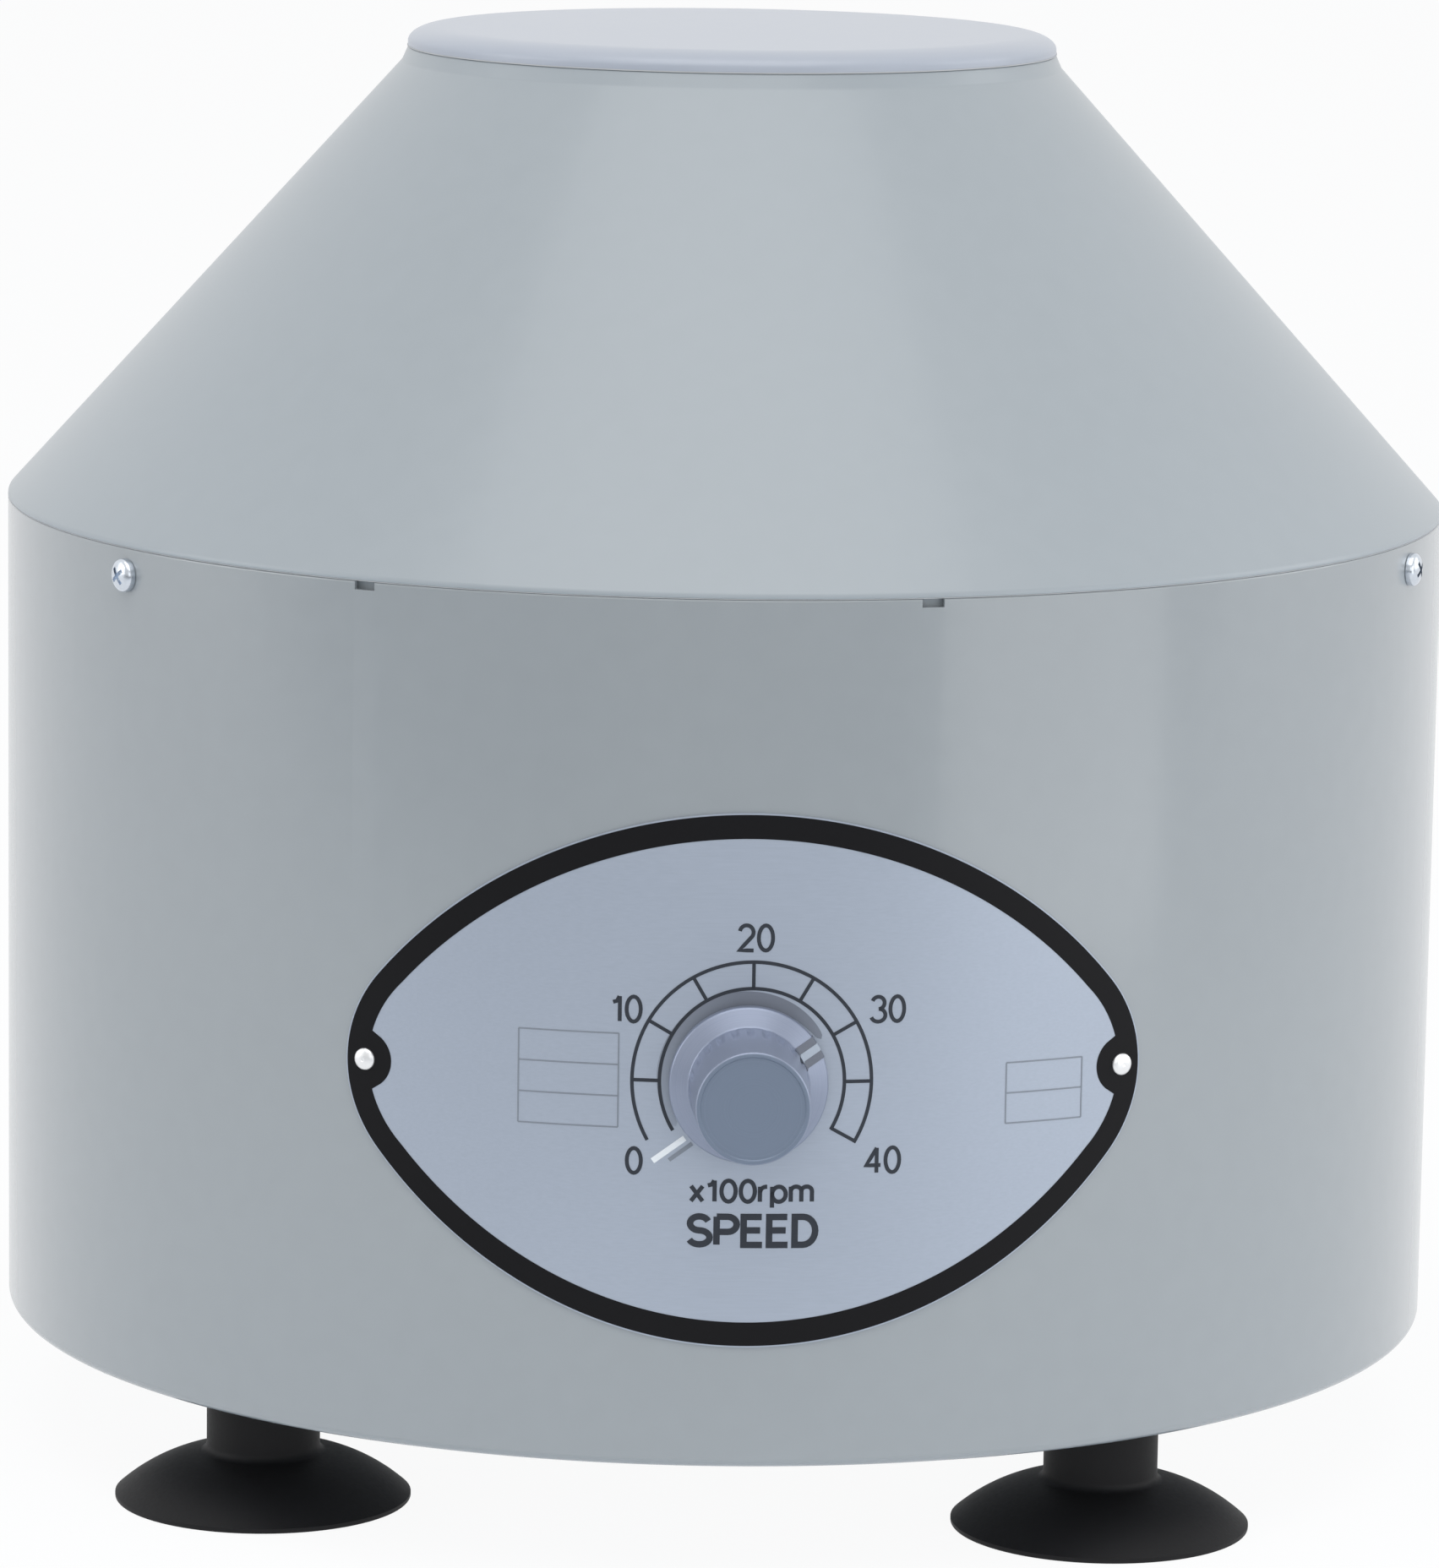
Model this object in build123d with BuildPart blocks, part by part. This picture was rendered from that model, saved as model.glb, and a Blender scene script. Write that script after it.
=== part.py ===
from build123d import *
import os
from math import cos, hypot, pi, radians, sin, sqrt, tan

# Lengths are in millimetres and angles in degrees.
# The drum's axis is the Z axis, the bench is at Z = 0 and the nameplate faces -Y.
# Angles round the drum start at the front and grow towards +X.

# Feet
foot_count = 4
foot_first_angle = -51.5
foot_inset = 25.5
foot_lip_radius = 26.1
foot_lip_height = 0.9
foot_lip_round = 0.35
foot_dome_height = 8.6
foot_neck_fillet = 1.5
foot_dome_bulge = 1.3
foot_neck_radius = 10.0
foot_neck_height = 14.0
foot_hollow_radius = 22.5
foot_hollow_depth = 1.5
foot_screw_reach = 15.0

# Drum
drum_radius = 130.0
drum_height = 147.8
drum_sheet = 1.0
drum_rim_round = 0.4
flange_width = 13.0
flange_sheet = 1.2
flange_bend = 1.6

# Base plate
base_sheet = 2.0
base_gap = 0.6
base_screw_count = 3
base_screw_inset = 6.5
base_screw_first_angle = 60.0
vent_count = 10
vent_circle_radius = 27.0
vent_length = 14.0
vent_width = 4.0

# Top cone and its neck
seam_gap = 0.1
cone_sheet = 1.0
cone_height = 77.9
lip_height = 1.2
lip_round = 1.6
skirt_gap = 0.4
skirt_depth = 14.7
neck_radius = 58.9
neck_rim_width = 2.9
neck_rim_height = 2.0
neck_rim_round = 0.9
neck_rim_drop = 0.4
notch_width = 3.8
notch_depth = 1.5
notch_half_span = 21.5
notch_middle_angle = -8.3
third_turn = 120.0

# Cone screws
cone_screw_first_angle = -54.4
cone_screw_below_rim = 4.7
cone_screw_length = 8.0

# Lid
lid_radius = 58.4
lid_height = 3.5
lid_sheet = 1.2
lid_edge_round = 2.6
lid_gap = 0.2
lid_ring_sheet = 1.2
lid_ring_gap = 0.6
lid_ring_below_rim = 6.0
gasket_height = 1.2
gasket_gap = 0.2
gasket_seat_gap = 0.05

# Nameplate, which is outlined by four tangent arcs
dial_height = 89.2
plate_half_length = 67.1
plate_half_height = 45.5
plate_tip_radius = 24.5
plate_sheet = 0.5
rivet_offset = 63.7
rivet_shank_radius = 1.2
rivet_head_radius = 1.7
rivet_head_height = 0.8
rivet_tail_radius = 1.8
rivet_tail_length = 1.4

# Speed knob and the potentiometer behind it
knob_reach = 21.8
knob_back_gap = 0.8
knob_skirt_radius = 13.3
knob_skirt_edge = 2.0
knob_skirt_height = 3.6
knob_grip_radius = 10.1
knob_face_radius = 10.0
knob_edge_round = 0.5
knob_pocket_radius = 7.7
knob_pocket_depth = 6.2
knob_shaft_cover = 4.0
knob_screw_back = 10.3
knob_screw_inset = 1.2
pointer_angle = 30.0
pot_shaft_radius = 3.0
pot_bushing_radius = 4.5
pot_bushing_reach = 6.0
pot_body_radius = 12.0
pot_body_length = 10.0
pot_body_gap = 0.1
pot_lug_width = 2.0
pot_lug_length = 7.0
pot_lug_sheet = 0.6
pot_lug_pitch = 5.0
pot_nut_width = 12.0
pot_nut_height = 2.5

# Motor bay, from the base plate up to the deck
pillar_length = 102.2
pillar_radius = 5.0
pillar_circle_radius = 80.0
pillar_count = 4
pillar_first_angle = 45.0
pillar_screw_reach = 9.0
deck_sheet = 2.0
deck_gap = 1.4
deck_lip_height = 10.0
deck_hole_radius = 9.0

# Motor
isolator_count = 3
isolator_radius = 7.0
isolator_height = 10.0
isolator_first_angle = 60.0
motor_screw_overrun = 1.0
motor_radius = 40.0
motor_shell = 1.8
motor_length = 58.0
motor_ear_overhang = 6.0
motor_ear_radius = 8.0
top_cover_sheet = 6.0
top_boss_rise = 4.0
base_cover_height = 10.0
base_cover_sheet = 3.0
bearing_boss_radius = 14.0
bearing_lip = 2.0
bearing_floor = 1.0
cover_vent_count = 6
cover_vent_circle_radius = 26.0
housing_vent_count = 12
housing_vent_length = 8.0
housing_vent_width = 4.0
housing_vent_below_top = 5.0
stack_height = 30.0
stack_below_top = 12.0
yoke_width = 5.5
shoe_width = 3.0
shoe_half_span = 20.4
pole_width = 20.0
coil_width = 3.5
coil_gap = 0.3
coil_inner_radius = 25.0
coil_outer_radius = 29.2
air_gap = 0.5
core_gap = 0.1
armature_radius = 23.1
armature_slots = 12
armature_slot_depth = 5.0
armature_slot_width = 2.4
coil_end_upper = 5.0
coil_end_lower = 5.0
coil_end_radius = 20.0
coil_end_inner_gap = 0.05
commutator_radius = 11.0
commutator_length = 9.0
commutator_gap = 1.0
fan_radius = 30.0
fan_hub_radius = 9.0
fan_back_sheet = 1.0
fan_height = 5.0
fan_top_gap = 0.5
fan_blade_count = 10
fan_blade_sheet = 1.2

# Motor brushes
brush_side = 5.0
brush_slot_gap = 0.2
brush_tip_gap = 0.15
brush_length = 19.0
brush_holder_radius = 5.2
brush_holder_start = 13.0
brush_holder_overhang = 6.0
brush_holder_cap = 2.0
brush_spring_radius = 2.2
brush_spring_wire = 0.5
brush_holder_hole_gap = 0.05

# Ball bearings
bearing_width = 7.0
bearing_outer_radius = 11.0
bearing_pitch_radius = 7.5
bearing_ball_radius = 1.95
bearing_ball_count = 7
bearing_groove_gap = 0.05
bearing_ring_step = 1.4
bearing_seat_gap = 0.02
cage_half_width = 0.9
cage_drop = 2.9
cage_rise = 0.3

# Shaft
shaft_radius = 4.0
shaft_shoulder_radius = 5.0
shaft_shoulder_gap = 0.2
shaft_tail = 1.5
shaft_taper_tip_radius = 3.3
shaft_thread_radius = 3.0
shaft_thread_length = 11.0
shaft_fit = 0.02

# Rotor head and its tube sleeves
sleeve_count = 6
sleeve_tilt = 35.0
sleeve_mouth_radius = 41.0
sleeve_mouth_below_neck = 27.6
sleeve_depth = 90.0
sleeve_bore_radius = 10.5
sleeve_wall = 1.5
sleeve_flange_width = 2.0
sleeve_flange_height = 2.0
sleeve_hole_gap = 0.1
sleeve_seat_gap = 0.4
sleeve_bottom_round = 2.0
head_plate = 6.0
head_rim_radius = 55.0
head_rim_round = 1.2
hub_radius = 13.0
hub_rise = 6.0
hub_drop = 30.0
nut_flange_radius = 8.0
nut_flange_height = 1.5
nut_width = 12.0
nut_height = 6.0

# Speed-control board
board_width = 50.0
board_length = 80.0
board_sheet = 1.6
board_wall_gap = 17.0
board_hole_inset = 4.0
standoff_height = 8.0
standoff_radius = 3.0
peg_radius = 1.5
peg_reach = 1.5
peg_gap = 0.1
sink_width = 12.0
sink_length = 50.0
sink_height = 35.0
sink_plate = 3.0
sink_inset = 2.0
fin_count = 7
fin_sheet = 1.5
triac_width = 10.0
triac_body_height = 9.0
triac_body_depth = 4.4
triac_tab_height = 16.0
triac_tab_depth = 1.3
triac_lead_length = 5.6
triac_lead_side = 0.8
triac_lead_pitch = 2.54
triac_lead_offset = 2.6
capacitor_width = 11.0
capacitor_length = 26.0
capacitor_height = 19.0
capacitor_round = 1.0
capacitor_offset_x = 3.0
capacitor_offset_y = 18.0
terminal_width = 10.0
terminal_length = 24.0
terminal_height = 12.0
terminal_offset_x = 12.0
terminal_offset_y = -22.0
terminal_ways = 4
terminal_screw_radius = 2.0
terminal_screw_depth = 3.0

# Power switch
switch_angle = 155.0
switch_height = 62.0
bezel_width = 15.0
bezel_length = 21.0
bezel_sheet = 2.0
bezel_round = 0.8
switch_body_width = 12.8
switch_body_length = 18.8
switch_body_depth = 16.0
switch_cutout_gap = 0.2
switch_cavity_width = 11.0
switch_cavity_depth = 9.0
switch_lug_width = 4.8
switch_lug_sheet = 0.8
switch_lug_length = 8.0
switch_lug_pitch = 8.0
rocker_width = 10.4
rocker_radius = 8.6
rocker_gap = 0.3
rocker_pivot_depth = 3.5
rocker_tilt = 8.0
rocker_back = 2.5
rocker_valley = 4.3
rocker_crest = 6.5
rocker_pin_radius = 1.2
rocker_pin_gap = 0.08
rocker_pin_reach = 0.7

# Fuse holder
fuse_angle = 205.0
fuse_height = 62.0
fuse_flange_radius = 8.5
fuse_flange_sheet = 2.0
fuse_body_radius = 6.0
fuse_body_depth = 32.0
fuse_bore_radius = 5.0
fuse_bore_depth = 28.0
fuse_hole_gap = 0.2
fuse_cap_radius = 6.4
fuse_cap_height = 7.0
fuse_cap_gap = 0.3
fuse_cap_round = 0.8
fuse_stem_gap = 0.3
fuse_stem_length = 24.0
fuse_slot_width = 1.4
fuse_slot_depth = 1.6

# Cord bushing, whose bore is for a 7 mm cable
bushing_angle = 180.0
bushing_height = 48.0
bushing_reach = 21.8
bushing_flange_radius = 9.5
bushing_flange_sheet = 3.0
bushing_tip_radius = 6.2
bushing_neck_radius = 7.5
bushing_bore_radius = 3.6
bushing_inner_radius = 8.8
bushing_inner_length = 5.0
bushing_hole_gap = 0.2
bushing_seat_gap = 0.1
bushing_tip_round = 0.8

# Screws and their holes
screw_hole_gap = 0.2
thread_gap = 0.05
small_screw_radius = 1.45
small_head_radius = 2.9
small_head_height = 2.1
small_head_round = 1.1
medium_screw_radius = 2.0
medium_head_radius = 3.8
medium_head_height = 1.6
medium_head_round = 0.7
large_screw_radius = 2.5
large_head_radius = 4.6
large_head_height = 3.0
large_head_round = 1.0
recess_width = 0.7
recess_share = 1.2
recess_depth = 0.8

# Heights and radii that follow from the sizes above
drum_bottom = foot_dome_height + foot_neck_height
drum_top = drum_bottom + drum_height
drum_inner = drum_radius - drum_sheet
flange_inner = drum_radius - flange_width
foot_circle_radius = drum_radius - foot_inset
base_bottom = drum_bottom + flange_sheet
base_top = base_bottom + base_sheet
cone_base = drum_top + seam_gap
lip_top = cone_base + lip_height
collar_base = lip_top + cone_height
neck_top = collar_base + neck_rim_height
neck_opening = neck_radius - neck_rim_width
skirt_outer = drum_inner - skirt_gap
skirt_inner = skirt_outer - cone_sheet
cone_slope = (drum_radius - neck_radius) / cone_height
cone_wall_across = cone_sheet * hypot(1, cone_slope)
cone_screw_height = drum_top - cone_screw_below_rim
lid_bottom = neck_top + lid_gap
lid_top = lid_bottom + lid_height
plate_face = drum_radius + plate_sheet
deck_bottom = base_top + pillar_length
deck_top = deck_bottom + deck_sheet
cover_top = deck_bottom - isolator_height
motor_top = cover_top - top_cover_sheet
motor_bottom = motor_top - motor_length
motor_foot = motor_bottom - base_cover_height
isolator_circle_radius = motor_radius + motor_ear_overhang
upper_bearing_bottom = motor_top + bearing_floor
lower_bearing_bottom = motor_foot + bearing_lip
stack_top = motor_top - stack_below_top
stack_bottom = stack_top - stack_height
commutator_top = stack_bottom - coil_end_lower - commutator_gap
brush_height = commutator_top - commutator_length / 2
sleeve_outer_radius = sleeve_bore_radius + sleeve_wall
sleeve_mouth_height = neck_top - sleeve_mouth_below_neck


def polar(radius, angle, height):
    """The point at a radius, an angle from the front and a height."""
    return (radius * sin(radians(angle)), -radius * cos(radians(angle)), height)


def wall_plane(angle, height, radius=drum_radius):
    """A plane tangent to the drum: x runs round it, y runs up and z points outward."""
    outward = (sin(radians(angle)), -cos(radians(angle)), 0)
    along = (cos(radians(angle)), sin(radians(angle)), 0)
    return Plane(origin=polar(radius, angle, height), x_dir=along, z_dir=outward)


def spun(plane, angle):
    """A plane turned round its own z axis."""
    return Plane(plane.location * Rotation(0, 0, angle))


def inner_wall(radius):
    """How far back from a plane tangent to the drum its inner wall lies, at a distance from the middle."""
    return sqrt(drum_inner**2 - radius**2) - drum_radius


def level_plane(radius, angle, height, up=True):
    """A level plane over a point, with its z direction up or down."""
    return Plane(origin=polar(radius, angle, height), x_dir=(1, 0, 0), z_dir=(0, 0, 1 if up else -1))


def ring_angles(first, count):
    """Evenly spaced angles round a circle."""
    return [first + 360 / count * step for step in range(count)]


def add_turned(plane, corners, rounds=(), mode=Mode.ADD):
    """Turn a closed outline round a plane's z axis.

    corners holds (distance along the axis, radius) pairs.
    rounds holds (corner number, fillet radius) pairs.
    """
    side = Plane(origin=plane.origin, x_dir=plane.z_dir, z_dir=plane.y_dir)
    with BuildSketch(side) as section:
        with BuildLine():
            Polyline(*corners, close=True)
        make_face()
        for number, radius in rounds:
            fillet(section.vertices().sort_by_distance(corners[number])[0], radius)
    revolve(section.sketch, axis=Axis(plane.origin, plane.z_dir), mode=mode)


def add_tube(plane, length, outer, inner=0.0, mode=Mode.ADD):
    """Extrude a disc or a ring from a plane."""
    with BuildSketch(plane) as section:
        Circle(outer)
        if inner > 0:
            Circle(inner, mode=Mode.SUBTRACT)
    extrude(section.sketch, amount=length, mode=mode)


def add_block(plane, width, height, low, high, mode=Mode.ADD):
    """Extrude a centred rectangle between two distances from a plane."""
    with BuildSketch(plane.offset(low)) as section:
        Rectangle(width, height)
    extrude(section.sketch, amount=high - low, mode=mode)


def add_screw(plane, shank, head, head_height, head_round, reach):
    """Stand a pan-head screw with a cross recess on a plane, its shank running back from it."""
    outline = [
        (-reach, 0),
        (-reach, shank),
        (0, shank),
        (0, head),
        (head_height, head),
        (head_height, 0),
    ]
    add_turned(plane, outline, [(4, head_round)])
    for turn in (0, 90):
        add_block(
            spun(plane, turn),
            head * recess_share,
            recess_width,
            head_height - recess_depth,
            head_height + recess_depth,
            mode=Mode.SUBTRACT,
        )


def add_small_screw(plane, reach):
    """An M3 pan-head screw."""
    add_screw(plane, small_screw_radius, small_head_radius, small_head_height, small_head_round, reach)


def add_medium_screw(plane, reach):
    """An M4 pan-head screw."""
    add_screw(plane, medium_screw_radius, medium_head_radius, medium_head_height, medium_head_round, reach)


def add_large_screw(plane, reach):
    """An M5 pan-head screw."""
    add_screw(plane, large_screw_radius, large_head_radius, large_head_height, large_head_round, reach)


def drill(plane, radius, reach):
    """Cut a round hole through a plane, as far in front of it as behind."""
    with BuildSketch(plane) as section:
        Circle(radius)
    extrude(section.sketch, amount=reach, both=True, mode=Mode.SUBTRACT)


def finish(piece, name):
    """Label a finished piece and write it under its node's name."""
    piece.part.label = name
    export_step(piece.part, f"parts/{name}.step")


# Places that more than one piece shares
foot_angles = ring_angles(foot_first_angle, foot_count)
base_screw_angles = ring_angles(base_screw_first_angle, base_screw_count)
base_screw_radius = drum_radius - base_screw_inset
cone_screw_angles = ring_angles(cone_screw_first_angle, 3)
pillar_angles = ring_angles(pillar_first_angle, pillar_count)
isolator_angles = ring_angles(isolator_first_angle, isolator_count)
brush_angles = (90.0, 270.0)
rivet_sides = (-1, 1)
dial = wall_plane(0, dial_height)
switch_plane = wall_plane(switch_angle, switch_height)
fuse_plane = wall_plane(fuse_angle, fuse_height)
bushing_plane = wall_plane(bushing_angle, bushing_height)


def rivet_plane(side):
    """The plane tangent to the drum under one of the nameplate's rivets."""
    across = rivet_offset / drum_radius
    angle = side * 180 / pi * (across + across**3 / 6 + 3 * across**5 / 40)
    return wall_plane(angle, dial_height)


# Drum
with BuildPart() as drum:
    drum_outline = [
        (drum_bottom, flange_inner),
        (drum_bottom, drum_radius),
        (drum_top, drum_radius),
        (drum_top, drum_inner),
        (drum_bottom + flange_sheet, drum_inner),
        (drum_bottom + flange_sheet, flange_inner),
    ]
    add_turned(Plane.XY, drum_outline, [(1, flange_bend), (2, drum_rim_round), (4, flange_bend / 4)])
    drill(dial, pot_bushing_radius + screw_hole_gap, 3 * drum_sheet)
    for side in rivet_sides:
        drill(rivet_plane(side), rivet_shank_radius + thread_gap, 3 * drum_sheet)
    for angle in cone_screw_angles:
        drill(wall_plane(angle, cone_screw_height), small_screw_radius + screw_hole_gap, 3 * drum_sheet)
    for angle in base_screw_angles:
        drill(level_plane(base_screw_radius, angle, drum_bottom), medium_screw_radius + screw_hole_gap,
              2 * flange_sheet)
    add_block(
        switch_plane,
        switch_body_width + 2 * switch_cutout_gap,
        switch_body_length + 2 * switch_cutout_gap,
        -3 * drum_sheet,
        drum_sheet,
        mode=Mode.SUBTRACT,
    )
    drill(fuse_plane, fuse_body_radius + fuse_hole_gap, 3 * drum_sheet)
    drill(bushing_plane, bushing_neck_radius + bushing_hole_gap, 3 * drum_sheet)
    for third in range(3):
        for side in (-1, 1):
            angle = notch_middle_angle + third * third_turn + side * notch_half_span
            add_block(
                wall_plane(angle, drum_top),
                notch_width,
                2 * notch_depth,
                -2 * drum_sheet,
                drum_sheet,
                mode=Mode.SUBTRACT,
            )
finish(drum, "drum")

# Top cone with the skirt that drops inside the drum
with BuildPart() as top_cone:
    rim_under = collar_base - neck_rim_drop
    cone_outline = [
        (cone_base, drum_radius),
        (lip_top, drum_radius),
        (collar_base, neck_radius),
        (neck_top, neck_radius),
        (neck_top, neck_opening),
        (rim_under, neck_opening),
        (rim_under, drum_radius - (rim_under - lip_top) * cone_slope - cone_wall_across),
        (lip_top + (drum_radius - cone_wall_across - skirt_inner) / cone_slope, skirt_inner),
        (cone_base - skirt_depth, skirt_inner),
        (cone_base - skirt_depth, skirt_outer),
        (cone_base, skirt_outer),
    ]
    add_turned(
        Plane.XY,
        cone_outline,
        [(0, drum_rim_round), (1, lip_round), (2, neck_rim_round), (3, neck_rim_round), (4, neck_rim_round)],
    )
    for angle in cone_screw_angles:
        drill(wall_plane(angle, cone_screw_height), small_screw_radius + thread_gap, cone_screw_length)
finish(top_cone, "top_cone")

with BuildPart() as cone_screws:
    for angle in cone_screw_angles:
        add_small_screw(wall_plane(angle, cone_screw_height), cone_screw_length)
finish(cone_screws, "cone_screws")

# Lid
with BuildPart() as lid:
    lid_outline = [
        (lid_bottom, lid_radius - lid_sheet),
        (lid_bottom, lid_radius),
        (lid_top, lid_radius),
        (lid_top, 0),
        (lid_top - lid_sheet, 0),
        (lid_top - lid_sheet, lid_radius - lid_sheet),
    ]
    add_turned(Plane.XY, lid_outline, [(2, lid_edge_round), (5, lid_edge_round - lid_sheet)])
finish(lid, "lid")

lid_ring_outer = neck_opening - lid_ring_gap
lid_ring_bottom = neck_top - lid_ring_below_rim
with BuildPart() as lid_ring:
    add_tube(
        Plane.XY.offset(lid_ring_bottom),
        lid_top - lid_sheet - lid_ring_bottom,
        lid_ring_outer,
        lid_ring_outer - lid_ring_sheet,
    )
finish(lid_ring, "lid_ring")

with BuildPart() as lid_gasket:
    add_tube(
        Plane.XY.offset(neck_top + gasket_seat_gap),
        gasket_height,
        lid_radius - lid_sheet - gasket_gap,
        lid_ring_outer + gasket_seat_gap,
    )
finish(lid_gasket, "lid_gasket")

# Feet
foot_outline_top = base_bottom
for number, angle in enumerate(foot_angles, start=1):
    centre = level_plane(foot_circle_radius, angle, 0)
    flank_middle = (
        (foot_lip_height + foot_dome_height) / 2 + foot_dome_bulge * sin(radians(63)),
        (foot_lip_radius + foot_neck_radius) / 2 + foot_dome_bulge * cos(radians(63)),
    )
    with BuildPart() as foot:
        side = Plane(origin=centre.origin, x_dir=centre.z_dir, z_dir=centre.y_dir)
        with BuildSketch(side) as foot_section:
            with BuildLine():
                Polyline(
                    (foot_lip_height, foot_lip_radius),
                    (0, foot_lip_radius),
                    (0, foot_hollow_radius),
                    (foot_hollow_depth, 0),
                    (foot_outline_top, 0),
                    (foot_outline_top, foot_neck_radius),
                    (foot_dome_height, foot_neck_radius),
                )
                ThreePointArc(
                    (foot_dome_height, foot_neck_radius),
                    flank_middle,
                    (foot_lip_height, foot_lip_radius),
                )
            make_face()
            fillet(foot_section.vertices().sort_by_distance((0, foot_lip_radius))[0], foot_lip_round)
            fillet(foot_section.vertices().sort_by_distance((foot_dome_height, foot_neck_radius))[0], foot_neck_fillet)
        revolve(axis=Axis(centre.origin, centre.z_dir))
        drill(
            level_plane(foot_circle_radius, angle, base_bottom),
            large_screw_radius + thread_gap,
            foot_screw_reach,
        )
    finish(foot, f"foot_{number}")

with BuildPart() as foot_screws:
    for angle in foot_angles:
        add_large_screw(level_plane(foot_circle_radius, angle, base_top), base_sheet + foot_screw_reach - 1)
finish(foot_screws, "foot_screws")

# Base plate
board_centre_x = -(drum_inner - board_wall_gap - board_width / 2)
standoff_spots = [
    (
        board_centre_x + side * (board_width / 2 - board_hole_inset),
        end * (board_length / 2 - board_hole_inset),
    )
    for side in (-1, 1)
    for end in (-1, 1)
]
with BuildPart() as base_plate:
    add_tube(Plane.XY.offset(base_bottom), base_sheet, drum_inner - base_gap)
    for angle in foot_angles:
        drill(
            level_plane(foot_circle_radius, angle, base_bottom),
            large_screw_radius + screw_hole_gap,
            2 * base_sheet,
        )
    for angle in base_screw_angles:
        drill(level_plane(base_screw_radius, angle, base_bottom), medium_screw_radius + thread_gap,
              2 * base_sheet)
    for angle in pillar_angles:
        drill(
            level_plane(pillar_circle_radius, angle, base_bottom),
            medium_screw_radius + screw_hole_gap,
            2 * base_sheet,
        )
    for x, y in standoff_spots:
        drill(Plane((x, y, base_bottom)), peg_radius + peg_gap, 2 * base_sheet)
    with BuildSketch(Plane.XY.offset(base_bottom)):
        with PolarLocations(vent_circle_radius, vent_count):
            SlotOverall(vent_length, vent_width)
    extrude(amount=2 * base_sheet, mode=Mode.SUBTRACT)
finish(base_plate, "base_plate")

with BuildPart() as base_screws:
    for angle in base_screw_angles:
        add_medium_screw(
            level_plane(base_screw_radius, angle, drum_bottom, up=False),
            flange_sheet + base_sheet + 1,
        )
finish(base_screws, "base_screws")

# Nameplate: the centres of its long arcs lie off the plate, those of its tips on its axis
tip_centre = plate_half_length - plate_tip_radius
long_radius = (tip_centre**2 + plate_half_height**2 - plate_tip_radius**2) / (
    2 * (plate_half_height - plate_tip_radius)
)
long_centre = long_radius - plate_half_height
meet_x = tip_centre * long_radius / (long_radius - plate_tip_radius)
meet_y = long_centre * plate_tip_radius / (long_radius - plate_tip_radius)
with BuildPart() as nameplate:
    add_tube(
        Plane.XY.offset(dial_height - plate_half_height - plate_sheet),
        2 * (plate_half_height + plate_sheet),
        plate_face,
        drum_radius,
    )
    plate_view = Plane(origin=(0, 0, dial_height), x_dir=(1, 0, 0), z_dir=(0, -1, 0))
    with BuildSketch(plate_view) as plate_outline:
        with BuildLine():
            ThreePointArc((-meet_x, meet_y), (0, plate_half_height), (meet_x, meet_y))
            ThreePointArc((meet_x, meet_y), (plate_half_length, 0), (meet_x, -meet_y))
            ThreePointArc((meet_x, -meet_y), (0, -plate_half_height), (-meet_x, -meet_y))
            ThreePointArc((-meet_x, -meet_y), (-plate_half_length, 0), (-meet_x, meet_y))
        make_face()
    extrude(amount=drum_radius + 2 * plate_sheet, mode=Mode.INTERSECT)
    drill(dial, pot_bushing_radius + screw_hole_gap, 2 * plate_sheet)
    for side in rivet_sides:
        drill(rivet_plane(side), rivet_shank_radius + thread_gap, 2 * plate_sheet)
finish(nameplate, "nameplate")

with BuildPart() as nameplate_rivets:
    for side in rivet_sides:
        rivet_back = inner_wall(rivet_tail_radius) - thread_gap
        rivet_outline = [
            (rivet_back - rivet_tail_length, 0),
            (rivet_back - rivet_tail_length, rivet_tail_radius),
            (rivet_back, rivet_tail_radius),
            (rivet_back, rivet_shank_radius),
            (plate_sheet, rivet_shank_radius),
            (plate_sheet, rivet_head_radius),
            (plate_sheet + rivet_head_height, rivet_head_radius),
            (plate_sheet + rivet_head_height, 0),
        ]
        add_turned(rivet_plane(side), rivet_outline, [(6, rivet_head_height * 0.9)])
finish(nameplate_rivets, "nameplate_rivets")

# Speed knob, set to its pointer's rest angle
knob_back = plate_sheet + knob_back_gap
knob_turn = spun(dial, pointer_angle)
knob_screw_reach = knob_reach - knob_screw_back
knob_length = knob_reach - knob_back
knob_skirt_top = knob_back + knob_skirt_height
knob_taper = (knob_grip_radius - knob_face_radius) / (knob_reach - knob_skirt_top)
knob_screw_outer = knob_grip_radius - knob_taper * (knob_screw_reach - knob_skirt_top) - knob_screw_inset
screw_up = Plane(
    origin=knob_turn.origin + knob_turn.z_dir * knob_screw_reach,
    x_dir=knob_turn.z_dir,
    z_dir=-knob_turn.y_dir,
)
with BuildPart() as knob:
    knob_outline = [
        (knob_back, 0),
        (knob_back, knob_skirt_radius),
        (knob_back + knob_skirt_edge, knob_skirt_radius),
        (knob_skirt_top, knob_grip_radius),
        (knob_reach, knob_face_radius),
        (knob_reach, 0),
    ]
    add_turned(knob_turn, knob_outline, [(1, knob_edge_round), (2, knob_edge_round), (4, knob_edge_round)])
    add_tube(knob_turn.offset(knob_back), knob_pocket_depth, knob_pocket_radius, mode=Mode.SUBTRACT)
    add_tube(
        knob_turn.offset(knob_back),
        knob_length - knob_shaft_cover,
        pot_shaft_radius + thread_gap,
        mode=Mode.SUBTRACT,
    )
    add_tube(screw_up, knob_skirt_radius, small_screw_radius + thread_gap, mode=Mode.SUBTRACT)
finish(knob, "knob")

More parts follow.
